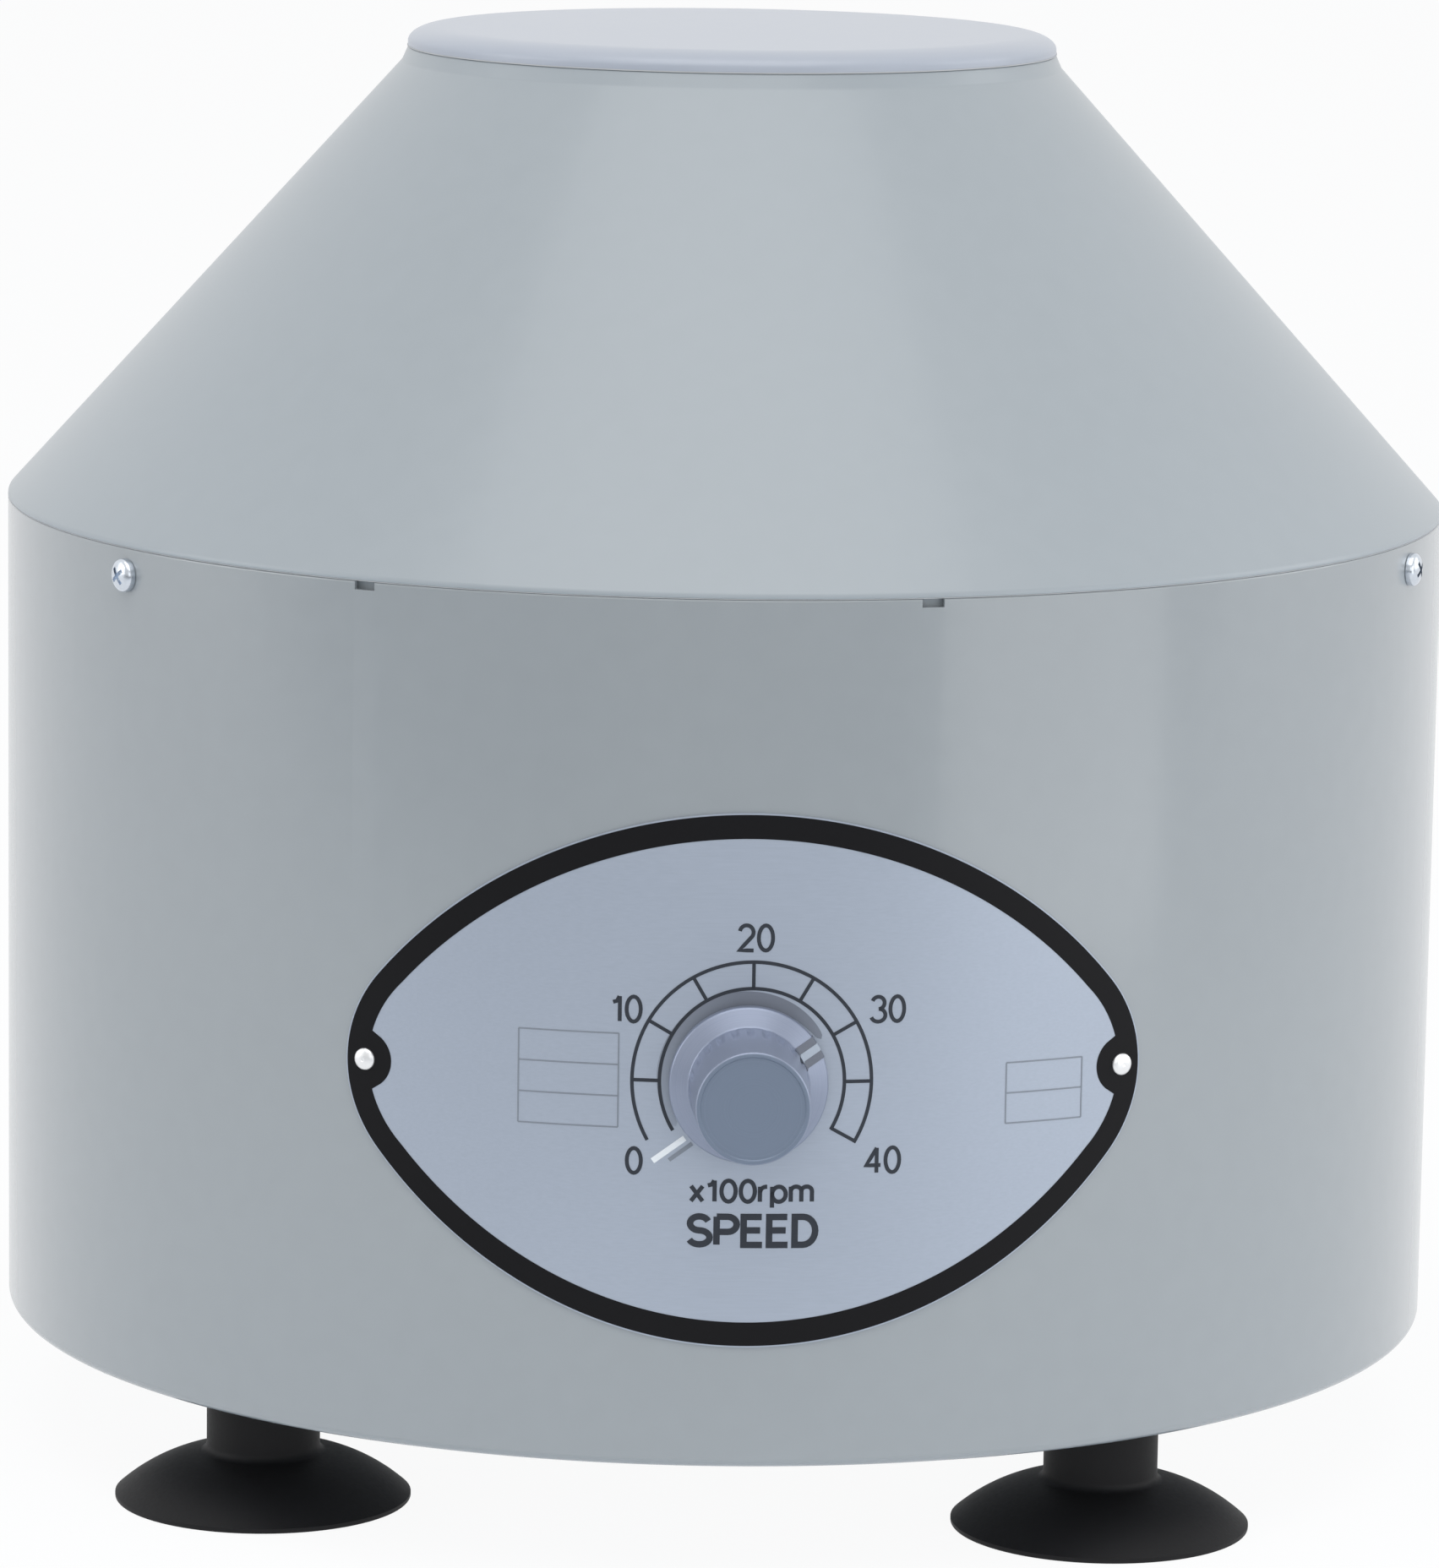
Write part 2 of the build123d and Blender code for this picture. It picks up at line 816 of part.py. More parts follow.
with BuildPart() as knob_screw:
    add_tube(
        screw_up.offset(pot_shaft_radius + thread_gap),
        knob_screw_outer - pot_shaft_radius - thread_gap,
        small_screw_radius,
    )
    with BuildSketch(screw_up.offset(knob_screw_outer)):
        RegularPolygon(small_screw_radius / 2, 6)
    extrude(amount=-small_screw_radius, mode=Mode.SUBTRACT)
finish(knob_screw, "knob_screw")

pot_front = inner_wall(pot_body_radius) - pot_body_gap
with BuildPart() as pot_shaft:
    add_tube(
        dial.offset(pot_front - pot_body_length / 2),
        knob_reach - knob_shaft_cover - thread_gap - pot_front + pot_body_length / 2,
        pot_shaft_radius,
    )
finish(pot_shaft, "pot_shaft")

with BuildPart() as pot_body:
    add_tube(dial.offset(pot_front - pot_body_length), pot_body_length, pot_body_radius)
    add_tube(dial.offset(pot_front), plate_sheet + pot_bushing_reach - pot_front, pot_bushing_radius)
    with BuildSketch(dial.offset(pot_front - pot_body_length)):
        with Locations(*[(step * pot_lug_pitch, -pot_body_radius) for step in (-1, 0, 1)]):
            Rectangle(pot_lug_width, 2 * pot_lug_length)
    extrude(amount=pot_lug_sheet)
    add_tube(
        dial.offset(pot_front - pot_body_length / 2 - thread_gap),
        2 * pot_body_length,
        pot_shaft_radius + thread_gap,
        mode=Mode.SUBTRACT,
    )
finish(pot_body, "pot_body")

with BuildPart() as pot_nut:
    with BuildSketch(dial.offset(plate_sheet)):
        RegularPolygon(pot_nut_width / 2, 6, major_radius=False)
        Circle(pot_bushing_radius + thread_gap, mode=Mode.SUBTRACT)
    extrude(amount=pot_nut_height)
finish(pot_nut, "pot_nut")

# Deck, the floor of the rotor chamber, and the pillars that carry it
deck_radius = drum_inner - deck_gap
with BuildPart() as deck:
    deck_outline = [
        (deck_bottom, deck_hole_radius),
        (deck_bottom, deck_radius),
        (deck_top + deck_lip_height - deck_sheet, deck_radius),
        (deck_top + deck_lip_height - deck_sheet, deck_radius - deck_sheet),
        (deck_top, deck_radius - deck_sheet),
        (deck_top, deck_hole_radius),
    ]
    add_turned(Plane.XY, deck_outline, [(1, 1.2 * deck_sheet), (4, deck_sheet / 5)])
    for angle in pillar_angles:
        drill(
            level_plane(pillar_circle_radius, angle, deck_bottom),
            medium_screw_radius + screw_hole_gap,
            2 * deck_sheet,
        )
    for angle in isolator_angles:
        drill(
            level_plane(isolator_circle_radius, angle, deck_bottom),
            large_screw_radius + screw_hole_gap,
            2 * deck_sheet,
        )
finish(deck, "deck")

with BuildPart() as deck_pillars:
    for angle in pillar_angles:
        add_tube(level_plane(pillar_circle_radius, angle, base_top), pillar_length, pillar_radius)
        for height in (base_top, deck_bottom):
            drill(
                level_plane(pillar_circle_radius, angle, height),
                medium_screw_radius + thread_gap,
                pillar_screw_reach + 1,
            )
finish(deck_pillars, "deck_pillars")

with BuildPart() as pillar_screws:
    for angle in pillar_angles:
        add_medium_screw(
            level_plane(pillar_circle_radius, angle, base_bottom, up=False), base_sheet + pillar_screw_reach
        )
        add_medium_screw(
            level_plane(pillar_circle_radius, angle, deck_top), deck_sheet + pillar_screw_reach
        )
finish(pillar_screws, "pillar_screws")

# Motor mounting
with BuildPart() as motor_isolators:
    for angle in isolator_angles:
        add_tube(
            level_plane(isolator_circle_radius, angle, cover_top),
            isolator_height,
            isolator_radius,
            large_screw_radius + screw_hole_gap,
        )
finish(motor_isolators, "motor_isolators")

with BuildPart() as motor_screws:
    for angle in isolator_angles:
        add_large_screw(
            level_plane(isolator_circle_radius, angle, deck_top),
            deck_sheet + isolator_height + top_cover_sheet + motor_screw_overrun,
        )
finish(motor_screws, "motor_screws")

# Motor covers and housing
seat_radius = bearing_outer_radius + bearing_seat_gap
bearing_hole_radius = (bearing_pitch_radius + bearing_outer_radius) / 2
with BuildPart() as motor_top_cover:
    add_tube(Plane.XY.offset(motor_top), top_cover_sheet, motor_radius)
    for angle in isolator_angles:
        add_tube(
            level_plane(isolator_circle_radius, angle, motor_top), top_cover_sheet, motor_ear_radius
        )
    add_tube(Plane.XY.offset(cover_top), top_boss_rise, bearing_boss_radius)
    add_tube(Plane.XY.offset(motor_top), bearing_floor, bearing_hole_radius, mode=Mode.SUBTRACT)
    add_tube(Plane.XY.offset(upper_bearing_bottom), bearing_width, seat_radius, mode=Mode.SUBTRACT)
    drill(Plane.XY.offset(cover_top + top_boss_rise), shaft_shoulder_radius + air_gap, top_boss_rise)
    for angle in isolator_angles:
        drill(
            level_plane(isolator_circle_radius, angle, motor_top),
            large_screw_radius + thread_gap,
            2 * top_cover_sheet,
        )
finish(motor_top_cover, "motor_top_cover")

with BuildPart() as motor_base_cover:
    add_tube(Plane.XY.offset(motor_foot), base_cover_height, motor_radius)
    add_tube(
        Plane.XY.offset(motor_foot + base_cover_sheet),
        base_cover_height,
        motor_radius - motor_shell - base_cover_sheet / 2,
        bearing_boss_radius,
        mode=Mode.SUBTRACT,
    )
    add_tube(Plane.XY.offset(lower_bearing_bottom), base_cover_height, seat_radius, mode=Mode.SUBTRACT)
    drill(Plane.XY.offset(motor_foot), shaft_shoulder_radius + air_gap, base_cover_height)
    with BuildSketch(Plane.XY.offset(motor_foot)):
        with PolarLocations(cover_vent_circle_radius, cover_vent_count):
            SlotOverall(vent_length, vent_width)
    extrude(amount=base_cover_sheet, mode=Mode.SUBTRACT)
finish(motor_base_cover, "motor_base_cover")

motor_bore = motor_radius - motor_shell
with BuildPart() as motor_housing:
    add_tube(Plane.XY.offset(motor_bottom), motor_length, motor_radius, motor_bore)
    for angle in brush_angles:
        drill(
            wall_plane(angle, brush_height, motor_radius),
            brush_holder_radius + brush_holder_hole_gap,
            2 * motor_shell,
        )
    for angle in ring_angles(0, housing_vent_count):
        with BuildSketch(wall_plane(angle, motor_top - housing_vent_below_top, motor_radius)) as vent:
            SlotOverall(housing_vent_length, housing_vent_width)
        extrude(vent.sketch, amount=2 * motor_shell, both=True, mode=Mode.SUBTRACT)
finish(motor_housing, "motor_housing")

# Field: a two-pole laminated core with a coil round each pole
shoe_inner = armature_radius + air_gap
core_outer = motor_bore - core_gap
with BuildSketch() as shoes:
    Circle(shoe_inner + shoe_width)
    Rectangle(2 * shoe_half_span, 4 * core_outer, mode=Mode.INTERSECT)
with BuildPart() as field_core:
    with BuildSketch(Plane.XY.offset(stack_bottom)):
        Circle(core_outer)
        Circle(core_outer - yoke_width, mode=Mode.SUBTRACT)
        Rectangle(pole_width, 2 * (core_outer - yoke_width / 2))
        add(shoes.sketch)
        Circle(shoe_inner, mode=Mode.SUBTRACT)
    extrude(amount=stack_height)
finish(field_core, "field_core")

with BuildPart() as field_coils:
    for angle in (0, 180):
        with BuildSketch(wall_plane(angle, (stack_bottom + stack_top) / 2, coil_inner_radius)):
            Rectangle(
                pole_width + 2 * (coil_gap + coil_width),
                stack_height + 2 * (coil_gap + coil_width),
            )
            Rectangle(pole_width + 2 * coil_gap, stack_height + 2 * coil_gap, mode=Mode.SUBTRACT)
        extrude(amount=coil_outer_radius - coil_inner_radius)
finish(field_coils, "field_coils")

# Brushes
brush_tip = commutator_radius + brush_tip_gap
holder_end = motor_radius + brush_holder_overhang
with BuildPart() as brush_holders:
    for angle in brush_angles:
        add_tube(
            wall_plane(angle, brush_height, brush_holder_start),
            holder_end - brush_holder_start,
            brush_holder_radius,
        )
        add_block(
            wall_plane(angle, brush_height, 0),
            brush_side + 2 * brush_slot_gap,
            brush_side + 2 * brush_slot_gap,
            brush_holder_start,
            holder_end - brush_holder_cap,
            mode=Mode.SUBTRACT,
        )
finish(brush_holders, "brush_holders")

with BuildPart() as carbon_brushes:
    for angle in brush_angles:
        add_block(
            wall_plane(angle, brush_height, 0),
            brush_side,
            brush_side,
            brush_tip,
            brush_tip + brush_length,
        )
finish(carbon_brushes, "carbon_brushes")

with BuildPart() as brush_springs:
    for angle in brush_angles:
        add_tube(
            wall_plane(angle, brush_height, brush_tip + brush_length),
            holder_end - brush_holder_cap - brush_tip - brush_length,
            brush_spring_radius,
            brush_spring_radius - brush_spring_wire,
        )
finish(brush_springs, "brush_springs")

# Ball bearings, one under the commutator and one over the fan
bearing_middles = [bottom + bearing_width / 2 for bottom in (lower_bearing_bottom, upper_bearing_bottom)]
groove_radius = bearing_ball_radius + bearing_groove_gap


def cut_groove(height, radius):
    """Cut the balls' path, or their pockets, round a bearing's axis."""
    with BuildSketch(Plane.XZ) as groove:
        with Locations((bearing_pitch_radius, height)):
            Circle(radius)
    revolve(groove.sketch, axis=Axis.Z, mode=Mode.SUBTRACT)


with BuildPart() as bearing_outer_rings:
    for middle in bearing_middles:
        add_tube(
            Plane.XY.offset(middle - bearing_width / 2),
            bearing_width,
            bearing_outer_radius,
            bearing_pitch_radius + bearing_ring_step,
        )
        cut_groove(middle, groove_radius)
finish(bearing_outer_rings, "bearing_outer_rings")

with BuildPart() as bearing_inner_rings:
    for middle in bearing_middles:
        add_tube(
            Plane.XY.offset(middle - bearing_width / 2),
            bearing_width,
            bearing_pitch_radius - bearing_ring_step,
            shaft_radius + shaft_fit,
        )
        cut_groove(middle, groove_radius)
finish(bearing_inner_rings, "bearing_inner_rings")

with BuildPart() as bearing_cages:
    for middle in bearing_middles:
        add_tube(
            Plane.XY.offset(middle - cage_drop),
            cage_drop + cage_rise,
            bearing_pitch_radius + cage_half_width,
            bearing_pitch_radius - cage_half_width,
        )
        with Locations((0, 0, middle)):
            with PolarLocations(bearing_pitch_radius, bearing_ball_count):
                Sphere(groove_radius, mode=Mode.SUBTRACT)
                Sphere(bearing_ball_radius)
finish(bearing_cages, "bearing_cages")

# Shaft, with a taper for the rotor head and a thread for its nut
plate_seat_radius = sleeve_mouth_radius + sleeve_flange_height * sin(radians(sleeve_tilt))
plate_seat_height = sleeve_mouth_height - sleeve_flange_height * cos(radians(sleeve_tilt))


def head_surface(radius):
    """The height of the rotor head's dished face at a radius."""
    return plate_seat_height + (radius - plate_seat_radius) * tan(radians(sleeve_tilt))


hub_top = head_surface(hub_radius) + hub_rise
hub_bottom = head_surface(hub_radius) - hub_drop
shaft_top = hub_top + shaft_thread_length
with BuildPart() as motor_shaft:
    shaft_outline = [
        (lower_bearing_bottom - shaft_tail, 0),
        (lower_bearing_bottom - shaft_tail, shaft_radius),
        (lower_bearing_bottom + bearing_width + shaft_shoulder_gap, shaft_radius),
        (lower_bearing_bottom + bearing_width + shaft_shoulder_gap, shaft_shoulder_radius),
        (upper_bearing_bottom - shaft_shoulder_gap, shaft_shoulder_radius),
        (upper_bearing_bottom - shaft_shoulder_gap, shaft_radius),
        (hub_bottom, shaft_radius),
        (hub_top, shaft_taper_tip_radius),
        (hub_top, shaft_thread_radius),
        (shaft_top, shaft_thread_radius),
        (shaft_top, 0),
    ]
    add_turned(Plane.XY, shaft_outline, [(9, shaft_thread_radius / 5)])
finish(motor_shaft, "motor_shaft")

# Armature, commutator and fan
with BuildPart() as armature_core:
    with BuildSketch(Plane.XY.offset(stack_bottom)):
        Circle(armature_radius)
        Circle(shaft_shoulder_radius + shaft_fit, mode=Mode.SUBTRACT)
        with PolarLocations(armature_radius, armature_slots):
            Rectangle(2 * armature_slot_depth, armature_slot_width, mode=Mode.SUBTRACT)
    extrude(amount=stack_height)
finish(armature_core, "armature_core")

with BuildPart() as armature_coils:
    for bottom, length in ((stack_bottom - coil_end_lower, coil_end_lower), (stack_top, coil_end_upper)):
        coil_outline = [
            (bottom, shaft_shoulder_radius + coil_end_inner_gap),
            (bottom, coil_end_radius),
            (bottom + length, coil_end_radius),
            (bottom + length, shaft_shoulder_radius + coil_end_inner_gap),
        ]
        add_turned(Plane.XY, coil_outline, [(1, length / 3), (2, length / 3)])
finish(armature_coils, "armature_coils")

with BuildPart() as commutator:
    add_tube(
        Plane.XY.offset(commutator_top - commutator_length),
        commutator_length,
        commutator_radius,
        shaft_shoulder_radius + shaft_fit,
    )
finish(commutator, "commutator")

fan_bottom = motor_top - fan_top_gap - fan_height
with BuildPart() as cooling_fan:
    add_tube(Plane.XY.offset(fan_bottom), fan_back_sheet, fan_radius)
    add_tube(Plane.XY.offset(fan_bottom), fan_height, fan_hub_radius)
    with BuildSketch(Plane.XY.offset(fan_bottom + fan_back_sheet)):
        with PolarLocations((fan_hub_radius + fan_radius) / 2, fan_blade_count):
            Rectangle(fan_radius - fan_hub_radius, fan_blade_sheet, rotation=20)
    extrude(amount=fan_height - fan_back_sheet)
    add_tube(
        Plane.XY.offset(fan_bottom), fan_height, shaft_shoulder_radius + shaft_fit, mode=Mode.SUBTRACT
    )
finish(cooling_fan, "cooling_fan")

# Rotor head, a dished plate on a hub, and the tube sleeves that hang through it
sleeve_angles = ring_angles(0, sleeve_count)


def sleeve_plane(angle):
    """The plane of a sleeve's mouth, with its z direction pointing out of the mouth."""
    lean = radians(sleeve_tilt)
    out_of_mouth = (-sin(lean) * sin(radians(angle)), sin(lean) * cos(radians(angle)), cos(lean))
    along = (cos(radians(angle)), sin(radians(angle)), 0)
    return Plane(
        origin=polar(sleeve_mouth_radius, angle, sleeve_mouth_height), x_dir=along, z_dir=out_of_mouth
    )


head_plate_drop = head_plate / cos(radians(sleeve_tilt))
with BuildPart() as rotor_head:
    head_outline = [
        (hub_bottom, shaft_radius),
        (hub_bottom, hub_radius),
        (head_surface(hub_radius) - head_plate_drop, hub_radius),
        (head_surface(head_rim_radius) - head_plate_drop, head_rim_radius),
        (head_surface(head_rim_radius), head_rim_radius),
        (head_surface(hub_radius), hub_radius),
        (hub_top - shaft_fit, hub_radius),
        (hub_top - shaft_fit, shaft_taper_tip_radius),
    ]
    bored_outline = [
        (along, radius + shaft_fit if number in (0, len(head_outline) - 1) else radius)
        for number, (along, radius) in enumerate(head_outline)
    ]
    add_turned(
        Plane.XY,
        bored_outline,
        [(1, head_rim_round), (3, head_rim_round), (4, head_rim_round), (6, head_rim_round)],
    )
    for angle in sleeve_angles:
        flange_seat = sleeve_plane(angle).offset(-sleeve_flange_height)
        add_tube(
            flange_seat,
            2 * head_plate,
            sleeve_outer_radius + sleeve_flange_width + sleeve_seat_gap,
            mode=Mode.SUBTRACT,
        )
        drill(flange_seat, sleeve_outer_radius + sleeve_hole_gap, 2 * head_plate)
finish(rotor_head, "rotor_head")

for number, angle in enumerate(sleeve_angles, start=1):
    with BuildPart() as sleeve:
        sleeve_end = sleeve_depth + sleeve_wall
        sleeve_outline = [
            (0, sleeve_bore_radius),
            (0, sleeve_outer_radius + sleeve_flange_width),
            (-sleeve_flange_height, sleeve_outer_radius + sleeve_flange_width),
            (-sleeve_flange_height, sleeve_outer_radius),
            (-sleeve_end, sleeve_outer_radius),
            (-sleeve_end, 0),
            (-sleeve_depth, 0),
            (-sleeve_depth, sleeve_bore_radius),
        ]
        add_turned(sleeve_plane(angle), sleeve_outline, [(4, sleeve_bottom_round)])
    finish(sleeve, f"tube_sleeve_{number}")

with BuildPart() as rotor_nut:
    add_tube(Plane.XY.offset(hub_top), nut_flange_height, nut_flange_radius)
    with BuildSketch(Plane.XY.offset(hub_top + nut_flange_height)):
        RegularPolygon(nut_width / 2, 6, major_radius=False)
    extrude(amount=nut_height)
    drill(Plane.XY.offset(hub_top), shaft_thread_radius + shaft_fit, 2 * nut_height)
finish(rotor_nut, "rotor_nut")

# Speed-control board on its standoffs
board_bottom = base_top + standoff_height
board_top = board_bottom + board_sheet
with BuildPart() as control_board:
    with BuildSketch(Plane((board_centre_x, 0, board_bottom))):
        Rectangle(board_width, board_length)
    extrude(amount=board_sheet)
    for x, y in standoff_spots:
        drill(Plane((x, y, board_bottom)), peg_radius + peg_gap, 2 * board_sheet)
finish(control_board, "control_board")

with BuildPart() as board_standoffs:
    for x, y in standoff_spots:
        standoff_outline = [
            (base_bottom - peg_reach, 0),
            (base_bottom - peg_reach, peg_radius),
            (base_top, peg_radius),
            (base_top, standoff_radius),
            (board_bottom, standoff_radius),
            (board_bottom, peg_radius),
            (board_top + peg_reach, peg_radius),
            (board_top + peg_reach, 0),
        ]
        add_turned(Plane((x, y, 0)), standoff_outline)
finish(board_standoffs, "board_standoffs")

sink_back = board_centre_x - board_width / 2 + sink_inset
sink_face = sink_back + sink_width
with BuildPart() as heat_sink:
    with BuildSketch(Plane.XY.offset(board_top)):
        with Locations((sink_face - sink_plate / 2, 0)):
            Rectangle(sink_plate, sink_length)
        with Locations(((sink_back + sink_face) / 2, 0)):
            with GridLocations(0, (sink_length - fin_sheet) / (fin_count - 1), 1, fin_count):
                Rectangle(sink_width, fin_sheet)
    extrude(amount=sink_height)
finish(heat_sink, "heat_sink")

triac_bottom = board_top + triac_lead_length
with BuildPart() as triac:
    with BuildSketch(Plane((sink_face + triac_tab_depth / 2, 0, triac_bottom))):
        Rectangle(triac_tab_depth, triac_width)
    extrude(amount=triac_tab_height)
    with BuildSketch(Plane((sink_face + triac_body_depth / 2, 0, triac_bottom))):
        Rectangle(triac_body_depth, triac_width)
    extrude(amount=triac_body_height)
    with BuildSketch(Plane((sink_face + triac_lead_offset, 0, board_top))):
        with GridLocations(0, triac_lead_pitch, 1, 3):
            Rectangle(triac_lead_side, triac_lead_side)
    extrude(amount=triac_lead_length)
finish(triac, "triac")

with BuildPart() as board_capacitor:
    capacitor_spot = (board_centre_x + capacitor_offset_x, capacitor_offset_y, board_top)
    with BuildSketch(Plane(capacitor_spot)):
        RectangleRounded(capacitor_width, capacitor_length, capacitor_round)
    extrude(amount=capacitor_height)
    fillet(board_capacitor.faces().sort_by(Axis.Z)[-1].edges(), capacitor_round / 2)
finish(board_capacitor, "board_capacitor")

with BuildPart() as terminal_block:
    terminal_spot = (board_centre_x + terminal_offset_x, terminal_offset_y, board_top)
    with BuildSketch(Plane(terminal_spot)):
        Rectangle(terminal_width, terminal_length)
    extrude(amount=terminal_height)
    with BuildSketch(Plane(terminal_spot).offset(terminal_height)):
        with GridLocations(0, terminal_length / terminal_ways, 1, terminal_ways):
            Circle(terminal_screw_radius)
    extrude(amount=-terminal_screw_depth, mode=Mode.SUBTRACT)
finish(terminal_block, "terminal_block")

# Power switch
switch_cavity_length = 2 * (rocker_radius + rocker_gap)
with BuildPart() as switch_bezel:
    with BuildSketch(switch_plane):
        RectangleRounded(bezel_width, bezel_length, bezel_round)
    extrude(amount=bezel_sheet)
    fillet(switch_bezel.faces().sort_by(Axis(switch_plane.origin, switch_plane.z_dir))[-1].edges(),
           bezel_round / 2)
    add_block(switch_plane, switch_body_width, switch_body_length, -switch_body_depth, 0)
    add_block(
        switch_plane,
        switch_cavity_width,
        switch_cavity_length,
        -switch_cavity_depth,
        2 * bezel_sheet,
        mode=Mode.SUBTRACT,
    )
    pin_plane = Plane(
        origin=switch_plane.origin - switch_plane.z_dir * rocker_pivot_depth,
        x_dir=switch_plane.y_dir,
        z_dir=switch_plane.x_dir,
    )
    drill(pin_plane, rocker_pin_radius + rocker_pin_gap, rocker_width / 2 + rocker_pin_reach + rocker_pin_gap)
    with BuildSketch(switch_plane.offset(-switch_body_depth)):
        with GridLocations(0, switch_lug_pitch, 1, 2):
            Rectangle(switch_lug_width, switch_lug_sheet)
    extrude(amount=-switch_lug_length)
finish(switch_bezel, "switch_bezel")

rocker_plane = spun(pin_plane, -rocker_tilt)
with BuildPart() as switch_rocker:
    with BuildSketch(rocker_plane) as rocker_section:
        Circle(rocker_radius)
        crest_reach = sqrt(rocker_radius**2 - rocker_crest**2)
        with BuildLine():
            Polyline(
                (-rocker_radius - 1, -rocker_back),
                (rocker_radius + 1, -rocker_back),
                (rocker_radius + 1, rocker_crest),
                (crest_reach, rocker_crest),
                (0, rocker_valley),
                (-crest_reach, rocker_crest),
                (-rocker_radius - 1, rocker_crest),
                close=True,
            )
        make_face(mode=Mode.INTERSECT)
    extrude(amount=rocker_width / 2, both=True)
    with BuildSketch(rocker_plane):
        Circle(rocker_pin_radius)
    extrude(amount=rocker_width / 2 + rocker_pin_reach, both=True)
finish(switch_rocker, "switch_rocker")

# Fuse holder and its cap
with BuildPart() as fuse_holder:
    fuse_outline = [
        (-fuse_body_depth, 0),
        (-fuse_body_depth, fuse_body_radius),
        (0, fuse_body_radius),
        (0, fuse_flange_radius),
        (fuse_flange_sheet, fuse_flange_radius),
        (fuse_flange_sheet, fuse_bore_radius),
        (-fuse_bore_depth, fuse_bore_radius),
        (-fuse_bore_depth, 0),
    ]
    add_turned(fuse_plane, fuse_outline, [(4, fuse_cap_round)])
finish(fuse_holder, "fuse_holder")

fuse_cap_back = fuse_flange_sheet + fuse_cap_gap
with BuildPart() as fuse_cap:
    stem_radius = fuse_bore_radius - fuse_stem_gap
    cap_outline = [
        (fuse_cap_back - fuse_stem_length, 0),
        (fuse_cap_back - fuse_stem_length, stem_radius),
        (fuse_cap_back, stem_radius),
        (fuse_cap_back, fuse_cap_radius),
        (fuse_cap_back + fuse_cap_height, fuse_cap_radius),
        (fuse_cap_back + fuse_cap_height, 0),
    ]
    add_turned(fuse_plane, cap_outline, [(4, fuse_cap_round)])
    add_block(
        fuse_plane,
        fuse_slot_width,
        1.5 * fuse_cap_radius,
        fuse_cap_back + fuse_cap_height - fuse_slot_depth,
        fuse_cap_back + 2 * fuse_cap_height,
        mode=Mode.SUBTRACT,
    )
finish(fuse_cap, "fuse_cap")

# Cord bushing at the rear
with BuildPart() as cord_bushing:
    inner_face = inner_wall(bushing_inner_radius) - bushing_seat_gap
    bushing_outline = [
        (inner_face - bushing_inner_length, bushing_bore_radius),
        (inner_face - bushing_inner_length, bushing_neck_radius),
        (inner_face, bushing_inner_radius),
        (inner_face, bushing_neck_radius),
        (0, bushing_neck_radius),
        (0, bushing_flange_radius),
        (bushing_flange_sheet, bushing_flange_radius),
        (bushing_reach, bushing_tip_radius),
        (bushing_reach, bushing_bore_radius),
    ]
    add_turned(bushing_plane, bushing_outline, [(6, bushing_tip_round), (7, bushing_tip_round)])
finish(cord_bushing, "cord_bushing")
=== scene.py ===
"""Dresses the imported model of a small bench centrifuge: its enamel, plate, dial, knob, fasteners and insides."""

import logging
import math
from collections.abc import Iterable, Sequence
from dataclasses import dataclass, field
from enum import Enum

import bmesh
import bpy
from bmesh.types import BMesh, BMVert
from bpy.types import Material, Node, NodeSocket, NodeTree, Object, World
from mathutils import Matrix, Vector


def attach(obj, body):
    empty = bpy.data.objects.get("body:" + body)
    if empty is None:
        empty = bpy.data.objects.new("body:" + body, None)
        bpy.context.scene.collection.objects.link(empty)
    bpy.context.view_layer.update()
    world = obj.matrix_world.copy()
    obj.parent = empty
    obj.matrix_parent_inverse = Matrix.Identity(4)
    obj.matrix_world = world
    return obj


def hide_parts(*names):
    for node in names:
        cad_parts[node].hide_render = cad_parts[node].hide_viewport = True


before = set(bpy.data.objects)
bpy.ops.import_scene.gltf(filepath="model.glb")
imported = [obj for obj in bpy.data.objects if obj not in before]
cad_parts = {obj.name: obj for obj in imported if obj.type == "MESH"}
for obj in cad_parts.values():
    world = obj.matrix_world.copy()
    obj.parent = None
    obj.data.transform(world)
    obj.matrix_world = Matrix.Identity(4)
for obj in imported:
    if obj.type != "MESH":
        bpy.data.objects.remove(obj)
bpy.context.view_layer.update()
NODES: dict[str, Object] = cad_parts

log = logging.getLogger("centrifuge")

Point2 = tuple[float, float]
Colour = tuple[float, float, float, float]
# What feeds a node's input; a node stands for its first output in use
Source = Node | NodeSocket

MM = 0.001

# Sizes shared with the part's source, in millimetres and degrees
DRUM_RADIUS = 130.0
PLATE_FACE = 130.5
DIAL_HEIGHT = 89.2
KNOB_REACH = 151.8
KNOB_BACK = 131.3
POINTER_ANGLE = 30.0
RIVET_ANGLE = 29.34

# Degrees from which an edge stays sharp, on metal parts and on thin print
METAL_EDGE = 32.0
PRINT_EDGE = 40.0

# How far a pattern swings the roughness to both sides, and how rough a clear coat is
GLOSS_SWING = 0.12
COAT_ROUGHNESS = 0.12


def linear(code: str) -> Colour:
    """Turn an sRGB hex colour into the linear colour that a shader takes.

    Args:
        code: Six hex digits with a leading hash.

    Returns:
        Red, green, blue and an alpha of one.
    """
    parts = [int(code[place : place + 2], 16) / 255 for place in (1, 3, 5)]
    red, green, blue = (v / 12.92 if v <= 0.04045 else ((v + 0.055) / 1.055) ** 2.4 for v in parts)
    return red, green, blue, 1.0


